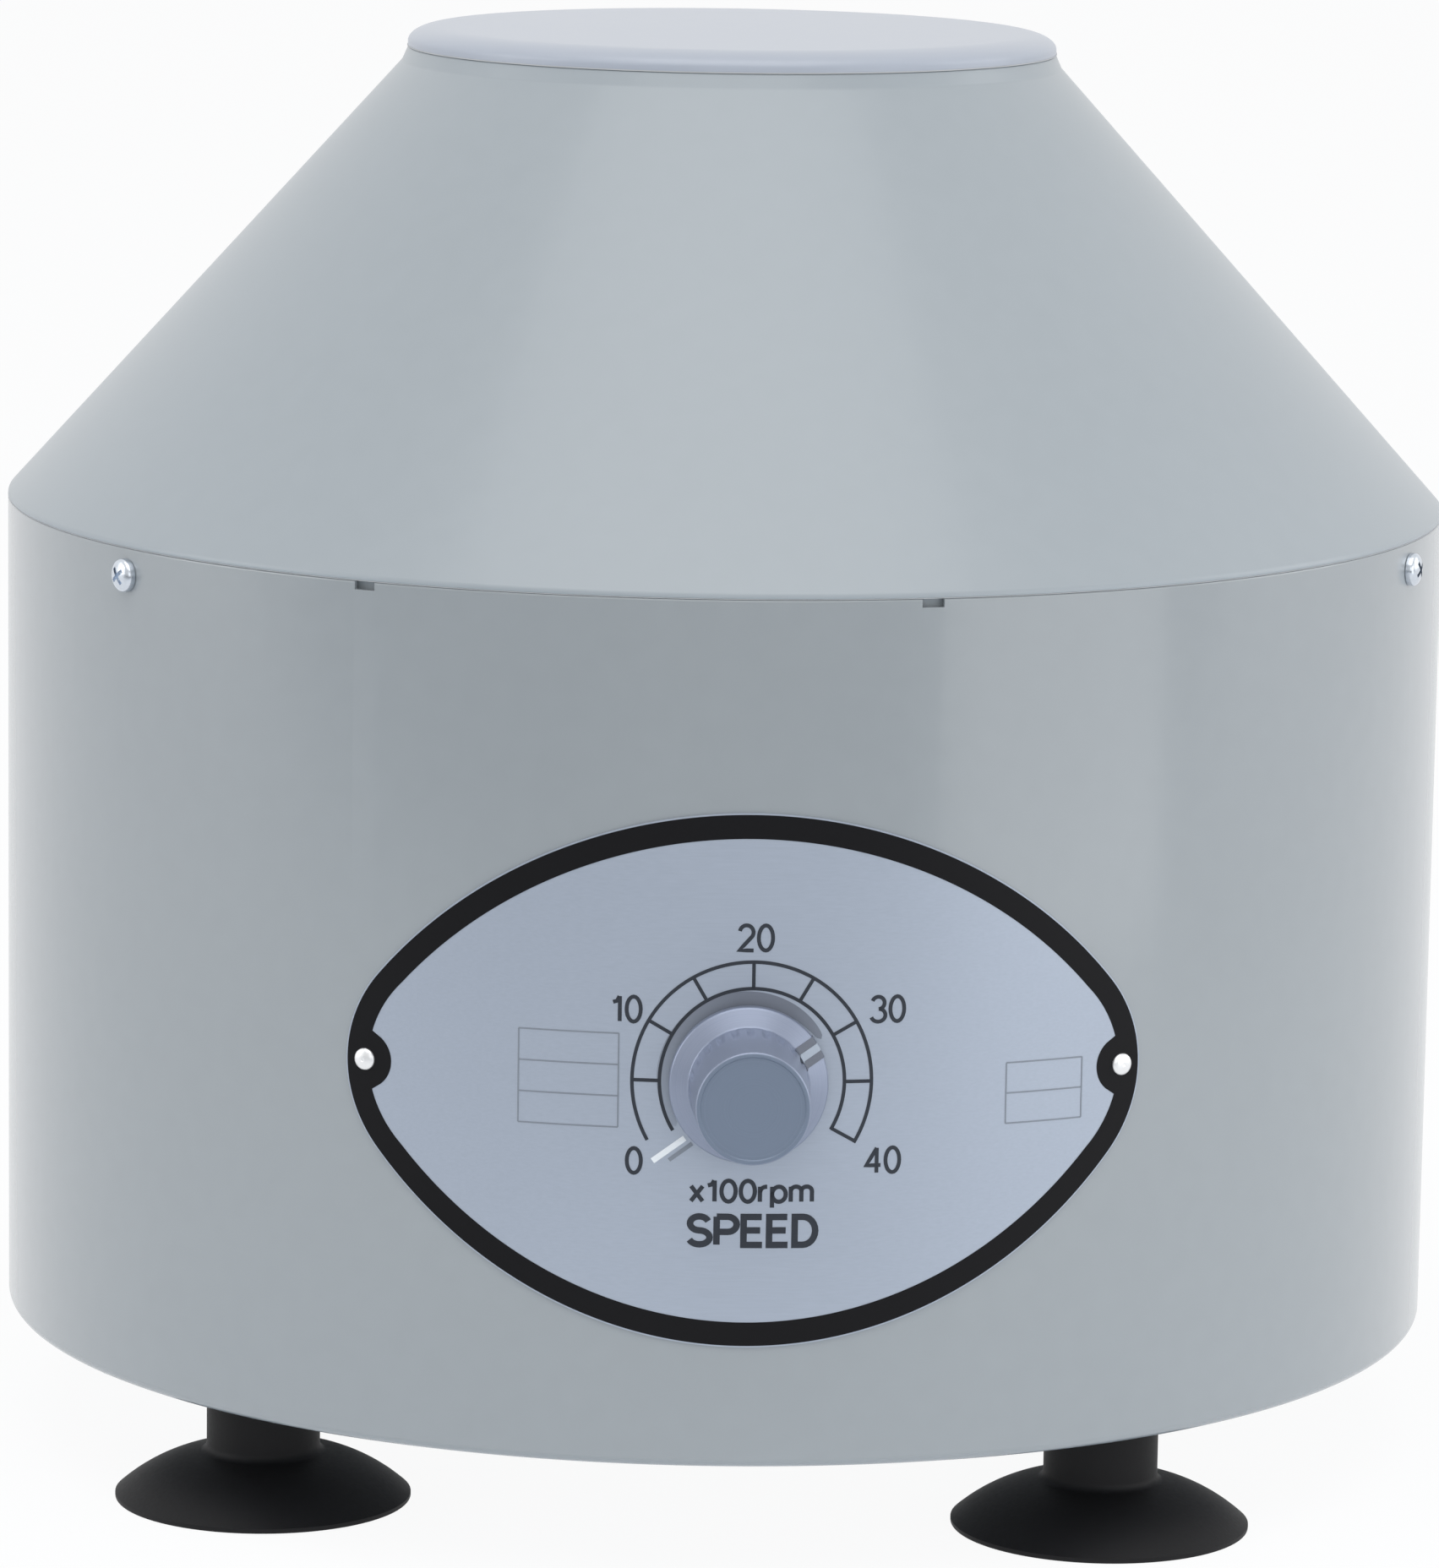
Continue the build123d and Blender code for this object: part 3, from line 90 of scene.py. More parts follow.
def add_node(tree: NodeTree, kind: str, inputs: dict[str | int, object] | None = None, **settings: object) -> Node:
    """Add one node, set its properties, then fill or link its inputs.

    Args:
        tree: The material's or the modifier's node tree.
        kind: Blender's type name of the node.
        inputs: Constants or sources to link, by input name or number.
        settings: Properties of the node itself.

    Returns:
        The new node.
    """
    node = tree.nodes.new(kind)
    for name, value in settings.items():
        setattr(node, name, value)
    for key, value in (inputs or {}).items():
        if isinstance(value, Node):
            value = next(socket for socket in value.outputs if socket.enabled)
        if isinstance(value, NodeSocket):
            tree.links.new(value, node.inputs[key])
        else:
            node.inputs[key].default_value = value
    return node


def empty_tree(owner: Material | World) -> NodeTree:
    """Give a material or a world a node tree with nothing in it.

    Args:
        owner: The new material or world.

    Returns:
        Its tree.
    """
    owner.use_nodes = True
    owner.node_tree.nodes.clear()
    return owner.node_tree


# Finishes


@dataclass(frozen=True)
class Finish:
    """What a surface is made of; each kind adds its own pattern.

    Attributes:
        name: The material's name, its common name and how it was made.
        colour: sRGB hex of the surface.
        second: sRGB hex that the pattern moves towards.
        roughness: Roughness at the middle of the pattern.
        metallic: How far it reflects as bare metal does, from 0 to 1.
        ior: Index of refraction of a surface that isn't metal.
        coat: Weight of a clear gloss over it.
        grain_mm: Real size of the pattern's grain.
        relief_mm: Height of the pattern's bumps.
        specular: Strength of the reflection at right angles, 0.5 being the usual one.
    """

    name: str
    colour: str
    second: str
    roughness: float
    metallic: float = 0.0
    ior: float = 1.5
    coat: float = 0.0
    grain_mm: float = 1.0
    relief_mm: float = 0.0
    specular: float = 0.5

    @property
    def scale(self) -> float:
        """Grains to the metre."""
        return 1000 / self.grain_mm

    def pattern(self, tree: NodeTree, place: Source) -> Source:
        """Build the finish's pattern, from 0 to 1.

        Args:
            tree: The material's tree.
            place: Object coordinates, in metres.

        Returns:
            What carries the pattern.
        """
        return add_node(tree, "ShaderNodeTexNoise", {"Vector": place, "Scale": self.scale, "Detail": 3.0})

    def material(self) -> Material:
        """Build the material, or find it where it was built before.

        Returns:
            The finished material.
        """
        made = bpy.data.materials.get(self.name)
        if made is not None:
            return made
        made = bpy.data.materials.new(self.name)
        tree = empty_tree(made)
        factor = self.pattern(tree, add_node(tree, "ShaderNodeTexCoord").outputs["Object"])
        tones = {"Factor": factor, 6: linear(self.colour), 7: linear(self.second)}
        least, most = self.roughness * (1 - GLOSS_SWING), min(1.0, self.roughness * (1 + GLOSS_SWING))
        surface: dict[str | int, object] = {
            "Base Color": add_node(tree, "ShaderNodeMix", tones, data_type="RGBA"),
            "Roughness": add_node(tree, "ShaderNodeMapRange", {"Value": factor, "To Min": least, "To Max": most}),
            "Metallic": self.metallic,
            "IOR": self.ior,
            "Specular IOR Level": self.specular,
            "Coat Weight": self.coat,
            "Coat Roughness": COAT_ROUGHNESS,
        }
        if self.relief_mm > 0:
            bumps = {"Height": factor, "Distance": self.relief_mm * MM, "Strength": 1.0}
            surface["Normal"] = add_node(tree, "ShaderNodeBump", bumps)
        shader = add_node(tree, "ShaderNodeBsdfPrincipled", surface)
        add_node(tree, "ShaderNodeOutputMaterial", {"Surface": shader})
        return made

    def cover(self, piece: Object) -> None:
        """Make a piece of this finish alone."""
        piece.data.materials.clear()
        piece.data.materials.append(self.material())

    def dress(self, *names: str) -> None:
        """Give CAD nodes this finish, by name."""
        for name in names:
            self.cover(NODES[name])


@dataclass(frozen=True)
class StovedEnamel(Finish):
    """Grey enamel stoved on steel sheet: a satin face with the faint ripple of sprayed paint and slow tone drift.

    Attributes:
        drift_mm: How far apart the slow changes of tone are.
        ripple: The ripple's share of the pattern.
    """

    drift_mm: float = 70.0
    ripple: float = 0.35

    def pattern(self, tree: NodeTree, place: Source) -> Source:
        """Mix slow drift with fine spray ripple; arguments and result as in Finish."""
        slow = {"Vector": place, "Scale": 1000 / self.drift_mm, "Detail": 1.0}
        fine = {"Vector": place, "Scale": self.scale, "Detail": 0.0}
        drift, ripple = (add_node(tree, "ShaderNodeTexNoise", inputs) for inputs in (slow, fine))
        return add_node(tree, "ShaderNodeMix", {"Factor": self.ripple, 2: drift, 3: ripple}, data_type="FLOAT")


@dataclass(frozen=True)
class BrushedMetal(Finish):
    """Metal finished along one direction: fine lines, drawn out along it.

    Attributes:
        stretch: How much longer than wide the grain is along X, Y and Z.
    """

    stretch: tuple[float, float, float] = (30.0, 1.0, 1.0)

    def pattern(self, tree: NodeTree, place: Source) -> Source:
        """Squeeze the noise across the grain; arguments and result as in Finish."""
        squeeze = {"Vector": place, "Scale": tuple(1 / part for part in self.stretch)}
        drawn = add_node(tree, "ShaderNodeMapping", squeeze)
        return add_node(tree, "ShaderNodeTexNoise", {"Vector": drawn, "Scale": self.scale, "Detail": 2.0})


class Axis(Enum):
    """The axis that a turned piece was turned about, as its Euler angles that bring it to Z."""

    Z = (0.0, 0.0, 0.0)
    Y = (math.pi / 2, 0.0, 0.0)


@dataclass(frozen=True)
class TurnedMetal(Finish):
    """Metal cut on a lathe: rings round the axis, as fine as the tool's feed.

    Attributes:
        axis: The axis of turning.
        centre_mm: A point on that axis.
    """

    axis: Axis = Axis.Z
    centre_mm: tuple[float, float, float] = (0.0, 0.0, 0.0)

    def pattern(self, tree: NodeTree, place: Source) -> Source:
        """Noise that depends on radius and height alone; arguments and result as in Finish."""
        centre = tuple(part * MM for part in self.centre_mm)
        moved = add_node(tree, "ShaderNodeVectorMath", {0: place, 1: centre}, operation="SUBTRACT")
        upright = add_node(tree, "ShaderNodeMapping", {"Vector": moved, "Rotation": self.axis.value})
        parts = add_node(tree, "ShaderNodeSeparateXYZ", {"Vector": upright}).outputs
        flat = add_node(tree, "ShaderNodeCombineXYZ", {"X": parts["X"], "Y": parts["Y"]})
        radius = add_node(tree, "ShaderNodeVectorMath", {0: flat}, operation="LENGTH")
        reach = add_node(tree, "ShaderNodeMath", {0: radius, 1: parts["Z"]}, operation="ADD")
        rings = {"W": reach, "Scale": self.scale, "Detail": 2.0}
        return add_node(tree, "ShaderNodeTexNoise", rings, noise_dimensions="1D")


@dataclass(frozen=True)
class SpangledSheet(Finish):
    """Galvanised sheet: flat zinc crystals a few millimetres wide, each a little lighter or darker."""

    def pattern(self, tree: NodeTree, place: Source) -> Source:
        """One value for each crystal; arguments and result as in Finish."""
        crystals = add_node(tree, "ShaderNodeTexVoronoi", {"Vector": place, "Scale": self.scale})
        return add_node(tree, "ShaderNodeSeparateColor", {"Color": crystals.outputs["Color"]})


@dataclass(frozen=True)
class Layered(Finish):
    """Stacked laminations or wound wire: straight bands at the thickness of one sheet or turn.

    Attributes:
        along: The direction across the layers.
        waver_mm: How far hand winding strays.
    """

    along: str = "Z"
    waver_mm: float = 0.0

    def pattern(self, tree: NodeTree, place: Source) -> Source:
        """Bands with a period of one grain; arguments and result as in Finish."""
        # A wave of scale one has a period of pi / 20 metres
        scale = self.scale / 20 * math.pi
        waver = self.waver_mm / self.grain_mm
        bands = {"Vector": place, "Scale": scale, "Distortion": waver, "Detail": 1.0, "Detail Scale": 0.3}
        return add_node(tree, "ShaderNodeTexWave", bands, bands_direction=self.along).outputs["Fac"]


@dataclass(frozen=True)
class SegmentedBars(Finish):
    """Copper bars round a commutator, parted by thin dark mica.

    Attributes:
        bars: How many bars go round.
        bar_share: A bar's share of its step, from which on it is mica.
    """

    bars: int = 24
    bar_share: float = 0.86

    def pattern(self, tree: NodeTree, place: Source) -> Source:
        """One at the mica, nought on the bars; arguments and result as in Finish."""
        turn = add_node(tree, "ShaderNodeTexGradient", {"Vector": place}, gradient_type="RADIAL").outputs["Fac"]
        count = add_node(tree, "ShaderNodeMath", {0: turn, 1: float(self.bars)}, operation="MULTIPLY")
        part = add_node(tree, "ShaderNodeMath", {0: count}, operation="FRACT")
        return add_node(tree, "ShaderNodeMath", {0: part, 1: self.bar_share}, operation="GREATER_THAN")


@dataclass(frozen=True)
class CircuitBoard(Finish):
    """Glass-epoxy board under green solder mask, with the copper tracks showing through as paler lines."""

    def pattern(self, tree: NodeTree, place: Source) -> Source:
        """Tracks along the edges of uneven cells, one at their middle; arguments and result as in Finish."""
        cells = {"Vector": place, "Scale": self.scale, "Randomness": 0.85}
        kind = {"feature": "DISTANCE_TO_EDGE", "voronoi_dimensions": "2D"}
        tracks = add_node(tree, "ShaderNodeTexVoronoi", cells, **kind)
        inner, outer = 0.05, 0.08
        edge = {"Value": tracks, "From Min": inner, "From Max": outer, "To Min": 1.0, "To Max": 0.0}
        return add_node(tree, "ShaderNodeMapRange", edge)


@dataclass(frozen=True)
class PaintedKnobShadow(Finish):
    """Painted shadow round the knob: dark above it at the dial's top, fading to the plate's own grey at its foot.

    Attributes:
        darkest: Direction of its darkest part, in degrees.
        full: Degrees from there over which it stays dark.
        fade: Degrees from there to where it has gone.
    """

    darkest: float = 78.0
    full: float = 20.0
    fade: float = 125.0

    def pattern(self, tree: NodeTree, place: Source) -> Source:
        """Nought where it is darkest, one where it has faded; arguments and result as in Finish."""
        parts = add_node(tree, "ShaderNodeSeparateXYZ", {"Vector": place}).outputs
        up = add_node(tree, "ShaderNodeMath", {0: parts["Z"], 1: DIAL_HEIGHT * MM}, operation="SUBTRACT")
        turn = add_node(tree, "ShaderNodeMath", {0: parts["X"], 1: up}, operation="ARCTAN2")
        middle = math.radians(90 - self.darkest)
        away = add_node(tree, "ShaderNodeMath", {0: turn, 1: middle}, operation="SUBTRACT")
        apart = add_node(tree, "ShaderNodeMath", {0: away}, operation="ABSOLUTE")
        ends = {"From Min": math.radians(self.full), "From Max": math.radians(self.fade)}
        return add_node(tree, "ShaderNodeMapRange", {"Value": apart, **ends})


# Satin grey enamel of the drum; the real ripple of sprayed and stoved paint is finer, and is drawn 4 mm wide to show
DRUM_ENAMEL = StovedEnamel(
    "stoved_enamel_grey", "#959B9F", "#9BA1A5", 0.255, ior=1.6, coat=0.5, grain_mm=4.0, relief_mm=0.0004
)
# The same paint on the spun top, drawn a shade lighter and bluer than the drum's as painted light, since the top faces
# the lamps more
CONE_ENAMEL = StovedEnamel("stoved_enamel_cone", "#9CA4AA", "#A2AAB0", 0.36, coat=0.15, grain_mm=4.0, relief_mm=0.0004)
# The same enamel on the lid, drawn a shade paler as painted light, since its top faces up into the light
LID_ENAMEL = StovedEnamel("stoved_enamel_lid", "#AAB1BD", "#B0B7C3", 0.36, coat=0.15, grain_mm=4.0, relief_mm=0.0004)
# Pale grey fill in the narrow gaps over the drum and under the lid: painted light that lightens the shade in the gaps
GAP_LIGHT_FILL = Finish("soft_sealer_grey", "#BFC1C3", "#C6C8CA", 0.6, grain_mm=0.8, specular=0.3)
# Dark enamel on the motor's shell, with the orange peel of a thick coat
MOTOR_ENAMEL = StovedEnamel("motor_enamel_dark", "#2B2F35", "#31353B", 0.42, coat=0.1, grain_mm=1.2, relief_mm=0.006)
# Moulded rubber, matt black with a fine bloom
RUBBER = Finish(
    "moulded_rubber_black", "#0A0A0C", "#131316", 0.6, ior=1.52, grain_mm=0.7, relief_mm=0.02, specular=0.25
)
# Moulded plastics with a spark-eroded grain, drawn at about 0.5 mm so that it shows
BLACK_PLASTIC = Finish("moulded_abs_black", "#111214", "#18191B", 0.42, ior=1.54, grain_mm=0.5, relief_mm=0.008)
BLUE_PLASTIC = Finish("moulded_nylon_blue", "#1E4C86", "#24548F", 0.4, ior=1.53, grain_mm=0.6, relief_mm=0.008)
WHITE_PLASTIC = Finish("moulded_nylon_white", "#DCDCD6", "#E6E6E1", 0.45, ior=1.53, grain_mm=0.6, relief_mm=0.006)
GREEN_PLASTIC = Finish("moulded_polyamide_green", "#1F7A44", "#25854C", 0.4, ior=1.53, grain_mm=0.5, relief_mm=0.006)
YELLOW_BOX = Finish("film_capacitor_yellow", "#D9A32B", "#E0AC36", 0.35, ior=1.55, grain_mm=0.6, relief_mm=0.005)
# Bright zinc plate over turned steel: bluish, with slightly cloudy patches
ZINC = Finish("zinc_plated_steel", "#C3CAD3", "#DCE3EC", 0.24, metallic=1.0, grain_mm=0.8, relief_mm=0.002)
# Satin anodised aluminium of the nameplate, rolled along its length; grain drawn at 0.3 mm
PLATE_ALUMINIUM = BrushedMetal(
    "satin_aluminium_plate", "#A3ACBA", "#ADB6C4", 0.42, metallic=0.55, grain_mm=0.3, relief_mm=0.001
)
# Turned and anodised aluminium of the knob, ring by ring round the dial's axis
KNOB_FLANK = TurnedMetal(
    "turned_aluminium_knob", "#868FA3", "#939BAE", 0.36, metallic=0.5, grain_mm=0.35, relief_mm=0.003,
    axis=Axis.Y, centre_mm=(0.0, 0.0, DIAL_HEIGHT),
)
# Its face: the same metal drawn darker than the flank, which is painted shade, and flatter
KNOB_FACE = TurnedMetal(
    "anodised_face_knob", "#707C8E", "#778395", 0.45, metallic=0.35, grain_mm=0.25, relief_mm=0.002,
    axis=Axis.Y, centre_mm=(0.0, 0.0, DIAL_HEIGHT), specular=0.35,
)
# Bare drawn aluminium of rivets and the potentiometer's shaft
BRIGHT_ALUMINIUM = Finish("bright_aluminium", "#D5D8DC", "#E2E5E9", 0.25, metallic=1.0, grain_mm=0.8, relief_mm=0.002)
# Cast aluminium, fettled and left grey: coarse grains nearly a millimetre wide
CAST_ALUMINIUM = Finish("cast_aluminium", "#A3A7AA", "#B8BCBF", 0.5, metallic=0.9, grain_mm=0.8, relief_mm=0.03)
# Galvanised steel sheet, its spangle about 7 mm across
GALVANISED = SpangledSheet("galvanised_sheet", "#A2A7AC", "#B9BEC3", 0.38, metallic=0.9, grain_mm=7.0)
# Ground shaft steel, polished bearing steel and turned brass, with rings as fine as the feed
SHAFT_STEEL = TurnedMetal("ground_shaft_steel", "#B5B8BB", "#C7CACD", 0.2, metallic=1.0, grain_mm=0.2)
BEARING_STEEL = TurnedMetal("polished_bearing_steel", "#C4C6C8", "#D2D4D6", 0.12, metallic=1.0, grain_mm=0.4)
BRASS = TurnedMetal("turned_brass", "#B8964C", "#CBAA60", 0.28, metallic=1.0, grain_mm=0.3)
# Silicon steel sheets half a millimetre thick, edges lightly rusted
LAMINATIONS = Layered("stacked_laminations", "#4F5052", "#86878A", 0.45, metallic=0.8, grain_mm=0.5, relief_mm=0.03)
# Enamelled copper wire, 0.6 mm over its enamel
WINDINGS = Layered(
    "enamelled_copper_wire", "#7A3A1B", "#C87F49", 0.32, metallic=0.7, grain_mm=0.6, relief_mm=0.15, waver_mm=0.5
)
# Hard copper bars with mica between, and the pressed carbon that rubs on them, dull and sooty
COMMUTATOR = SegmentedBars("commutator_copper", "#C98B5F", "#1E1712", 0.3, metallic=0.85)
CARBON = Finish("pressed_carbon", "#161616", "#232323", 0.7, grain_mm=0.3, relief_mm=0.01)
# Solder mask over copper tracks about 6 mm apart
BOARD = CircuitBoard("solder_mask_green", "#0F5A33", "#2C8A50", 0.32, grain_mm=6.0, relief_mm=0.02)
# Screen-printed inks: matt, with a faint mottle
BLACK_INK = Finish("printed_ink_black", "#08080B", "#0E0E12", 0.5, grain_mm=0.5, specular=0.17)
# The grey serves the printed table lines and also a painted shadow line at the dial's start
GREY_INK_AND_SHADOW = Finish("printed_ink_grey", "#7D848E", "#858C96", 0.5, grain_mm=0.5)
WHITE_INK = Finish("printed_ink_white", "#E9EDF0", "#F2F5F7", 0.45, grain_mm=0.5)
# The same ink where it is thin, on lines and lettering, which lets some of the plate through
TEXT_INK = Finish("printed_ink_thin", "#2E3239", "#383C44", 0.5, grain_mm=0.3, specular=0.22)
# The knob's pointer: a pale painted line over a wider dark strip, which is painted shade of a groove that is not cut
POINTER_INK = Finish("pointer_ink_pale", "#9BA5B2", "#A5AFBC", 0.4, grain_mm=0.5)
POINTER_GROOVE_SHADE = Finish("pointer_groove_dark", "#5A606C", "#646A77", 0.4, grain_mm=0.5)
# Painted shadow round the knob, grey, where the knob's shade falls on the plate
PAINTED_KNOB_SHADOW = PaintedKnobShadow("printed_halftone_grey", "#757B87", "#99A1AE", 0.45, grain_mm=0.5, specular=0.3)




# Shapes


def rounded(corners: Sequence[Point2], rounds: dict[int, float], steps: int = 8) -> list[Point2]:
    """Round some corners of an open outline.

    Args:
        corners: The outline's corners, in millimetres.
        rounds: Fillet radius by corner number.
        steps: Points along each fillet.

    Returns:
        The outline with its arcs drawn in short runs.
    """
    out: list[Point2] = []
    for number, corner in enumerate(corners):
        radius = rounds.get(number)
        if radius is None:
            out.append(corner)
            continue
        here = Vector(corner)
        back = (Vector(corners[number - 1]) - here).normalized()
        ahead = (Vector(corners[number + 1]) - here).normalized()
        half = back.angle(ahead) / 2
        middle = here + (back + ahead).normalized() * (radius / math.sin(half))
        start, end = here + back * (radius / math.tan(half)), here + ahead * (radius / math.tan(half))
        first, last = start - middle, end - middle
        for step in range(steps + 1):
            share = step / steps
            spoke = (first.lerp(last, share)).normalized() * radius
            out.append(tuple(middle + spoke))
    return out


def turned(name: str, outline: Sequence[Point2], sides: int) -> Object:
    """Turn an outline of (radius, height) pairs round the Z axis.

    Args:
        name: The new object's name.
        outline: Millimetres, from the axis out and back to the axis, or a closed ring off it.
        sides: How many steps go round.

    Returns:
        A closed mesh.
    """
    mesh = bmesh.new()
    rings: list[list[BMVert]] = []
    for radius, height in outline:
        if radius < 1e-6:
            rings.append([mesh.verts.new((0, 0, height * MM))])
            continue
        ring = []
        for side in range(sides):
            turn = 2 * math.pi * side / sides
            ring.append(mesh.verts.new((radius * MM * math.cos(turn), radius * MM * math.sin(turn), height * MM)))
        rings.append(ring)
    if len(rings[0]) > 1:
        rings.append(rings[0])
    for low, high in zip(rings, rings[1:]):
        for side in range(sides):
            after = (side + 1) % sides
            corners = [low[side % len(low)], low[after % len(low)], high[after % len(high)], high[side % len(high)]]
            mesh.faces.new(dict.fromkeys(corners))
    bmesh.ops.recalc_face_normals(mesh, faces=mesh.faces)
    return mesh_object(name, mesh)


def mesh_object(name: str, mesh: BMesh) -> Object:
    """Turn a bmesh into an object of the scene.

    Args:
        name: The new object's name.
        mesh: The mesh, which is freed.

    Returns:
        The object, at the origin.
    """
    data = bpy.data.meshes.new(name)
    mesh.to_mesh(data)
    mesh.free()
    made = bpy.data.objects.new(name, data)
    bpy.context.scene.collection.objects.link(made)
    return made


def settled(piece: Object) -> Object:
    """Apply a piece's modifiers and place, so that it is a plain mesh at the origin.

    Args:
        piece: A mesh object.

    Returns:
        The plain mesh object, under the same name.
    """
    bpy.context.view_layer.update()
    graph = bpy.context.evaluated_depsgraph_get()
    data = bpy.data.meshes.new_from_object(piece.evaluated_get(graph), preserve_all_data_layers=True, depsgraph=graph)
    data.transform(piece.matrix_world)
    name = piece.name
    bpy.data.objects.remove(piece)
    made = bpy.data.objects.new(name, data)
    data.name = name
    bpy.context.scene.collection.objects.link(made)
    return made


def joined(name: str, pieces: Iterable[Object]) -> Object:
    """Join plain meshes at the origin into one.

    Args:
        name: The new object's name.
        pieces: The meshes, which are removed.

    Returns:
        The joined object.
    """
    mesh = bmesh.new()
    for piece in list(pieces):
        mesh.from_mesh(piece.data)
        bpy.data.objects.remove(piece)
    return mesh_object(name, mesh)


def carve(piece: Object, tool: BMesh, crossing: bool = False) -> Object:
    """Take a mesh out of a piece.

    Args:
        piece: A closed mesh object.
        tool: What to take out, which is freed.
        crossing: Whether parts of the tool cross each other.

    Returns:
        The carved piece, plain.
    """
    cutter = mesh_object("cutter", tool)
    cut = piece.modifiers.new("carve", "BOOLEAN")
    cut.object, cut.operation, cut.solver, cut.use_self = cutter, "DIFFERENCE", "EXACT", crossing
    made = settled(piece)
    bpy.data.objects.remove(cutter)
    return made


@dataclass
class Cutters:
    """Pegs and blocks set in the drum's wall, to be carved out of a shell; all in degrees and millimetres."""

    mesh: BMesh = field(default_factory=bmesh.new)

    def stand(self, angle: float, height: float, reach: float) -> Matrix:
        """Find a place on the wall, its X round the wall, Y up and Z out.

        Args:
            angle: Direction from the front, anticlockwise from above.
            height: Its height.
            reach: Its distance from the machine's axis.

        Returns:
            The place, in metres.
        """
        upright = Matrix.Rotation(math.radians(angle), 4, "Z") @ Matrix.Translation((0, -reach * MM, height * MM))
        return upright @ Matrix.Rotation(math.pi / 2, 4, "X")

    def peg(self, angle: float, height: float, radius: float, inner: float, outer: float) -> None:
        """Add a round peg from one distance off the axis to another."""
        place = self.stand(angle, height, (inner + outer) / 2)
        size = {"radius1": radius * MM, "radius2": radius * MM, "depth": (outer - inner) * MM}
        bmesh.ops.create_cone(self.mesh, cap_ends=True, segments=48, matrix=place, **size)

    def block(self, angle: float, height: float, width: float, tall: float, inner: float, outer: float) -> None:
        """Add a block, its width round the wall, from one distance off the axis to another."""
        place = self.stand(angle, height, (inner + outer) / 2)
        size = Matrix.Diagonal((width * MM, tall * MM, (outer - inner) * MM, 1.0))
        bmesh.ops.create_cube(self.mesh, size=1.0, matrix=place @ size)


def creased(piece: Object, degrees: float) -> Object:
    """Shade a piece smooth except over edges sharper than an angle.

    Args:
        piece: A mesh object.
        degrees: The angle from which an edge stays sharp.

    Returns:
        The same piece.
    """
    mesh = bmesh.new()
    mesh.from_mesh(piece.data)
    for edge in mesh.edges:
        edge.smooth = len(edge.link_faces) == 2 and edge.calc_face_angle(0.0) < math.radians(degrees)
    for face in mesh.faces:
        face.smooth = True
    mesh.to_mesh(piece.data)
    mesh.free()
    return piece


def fitted(piece: Object, body: str, nodes: Sequence[str] = (), edge: float = METAL_EDGE) -> Object:
    """Crease a finished piece, hide the nodes that it stands for and attach it to its body.

    Args:
        piece: The plain mesh, with its materials.
        body: The body that it rides on.
        nodes: Those nodes.
        edge: Degrees from which its edges stay sharp.

    Returns:
        The same piece.
    """
    creased(piece, edge)
    if nodes:
        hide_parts(*nodes)
    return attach(piece, body)


# Print and lettering


def bend(x: float, y: float, wide: float, tall: float, first: float, last: float, step: float = 15.0) -> list[Point2]:
    """Draw part of an ellipse as short runs.

    Args:
        x: Its middle.
        y: Its middle's height.
        wide: Half its width.
        tall: Half its height.
        first: Angle of the first point, in degrees.
        last: Angle of the last point.
        step: Most degrees from one point to the next.

    Returns:
        The points in order.
    """
    steps = max(4, math.ceil(abs(last - first) / step))
    turns = [math.radians(first + (last - first) * part / steps) for part in range(steps + 1)]
    return [(x + wide * math.cos(turn), y + tall * math.sin(turn)) for turn in turns]


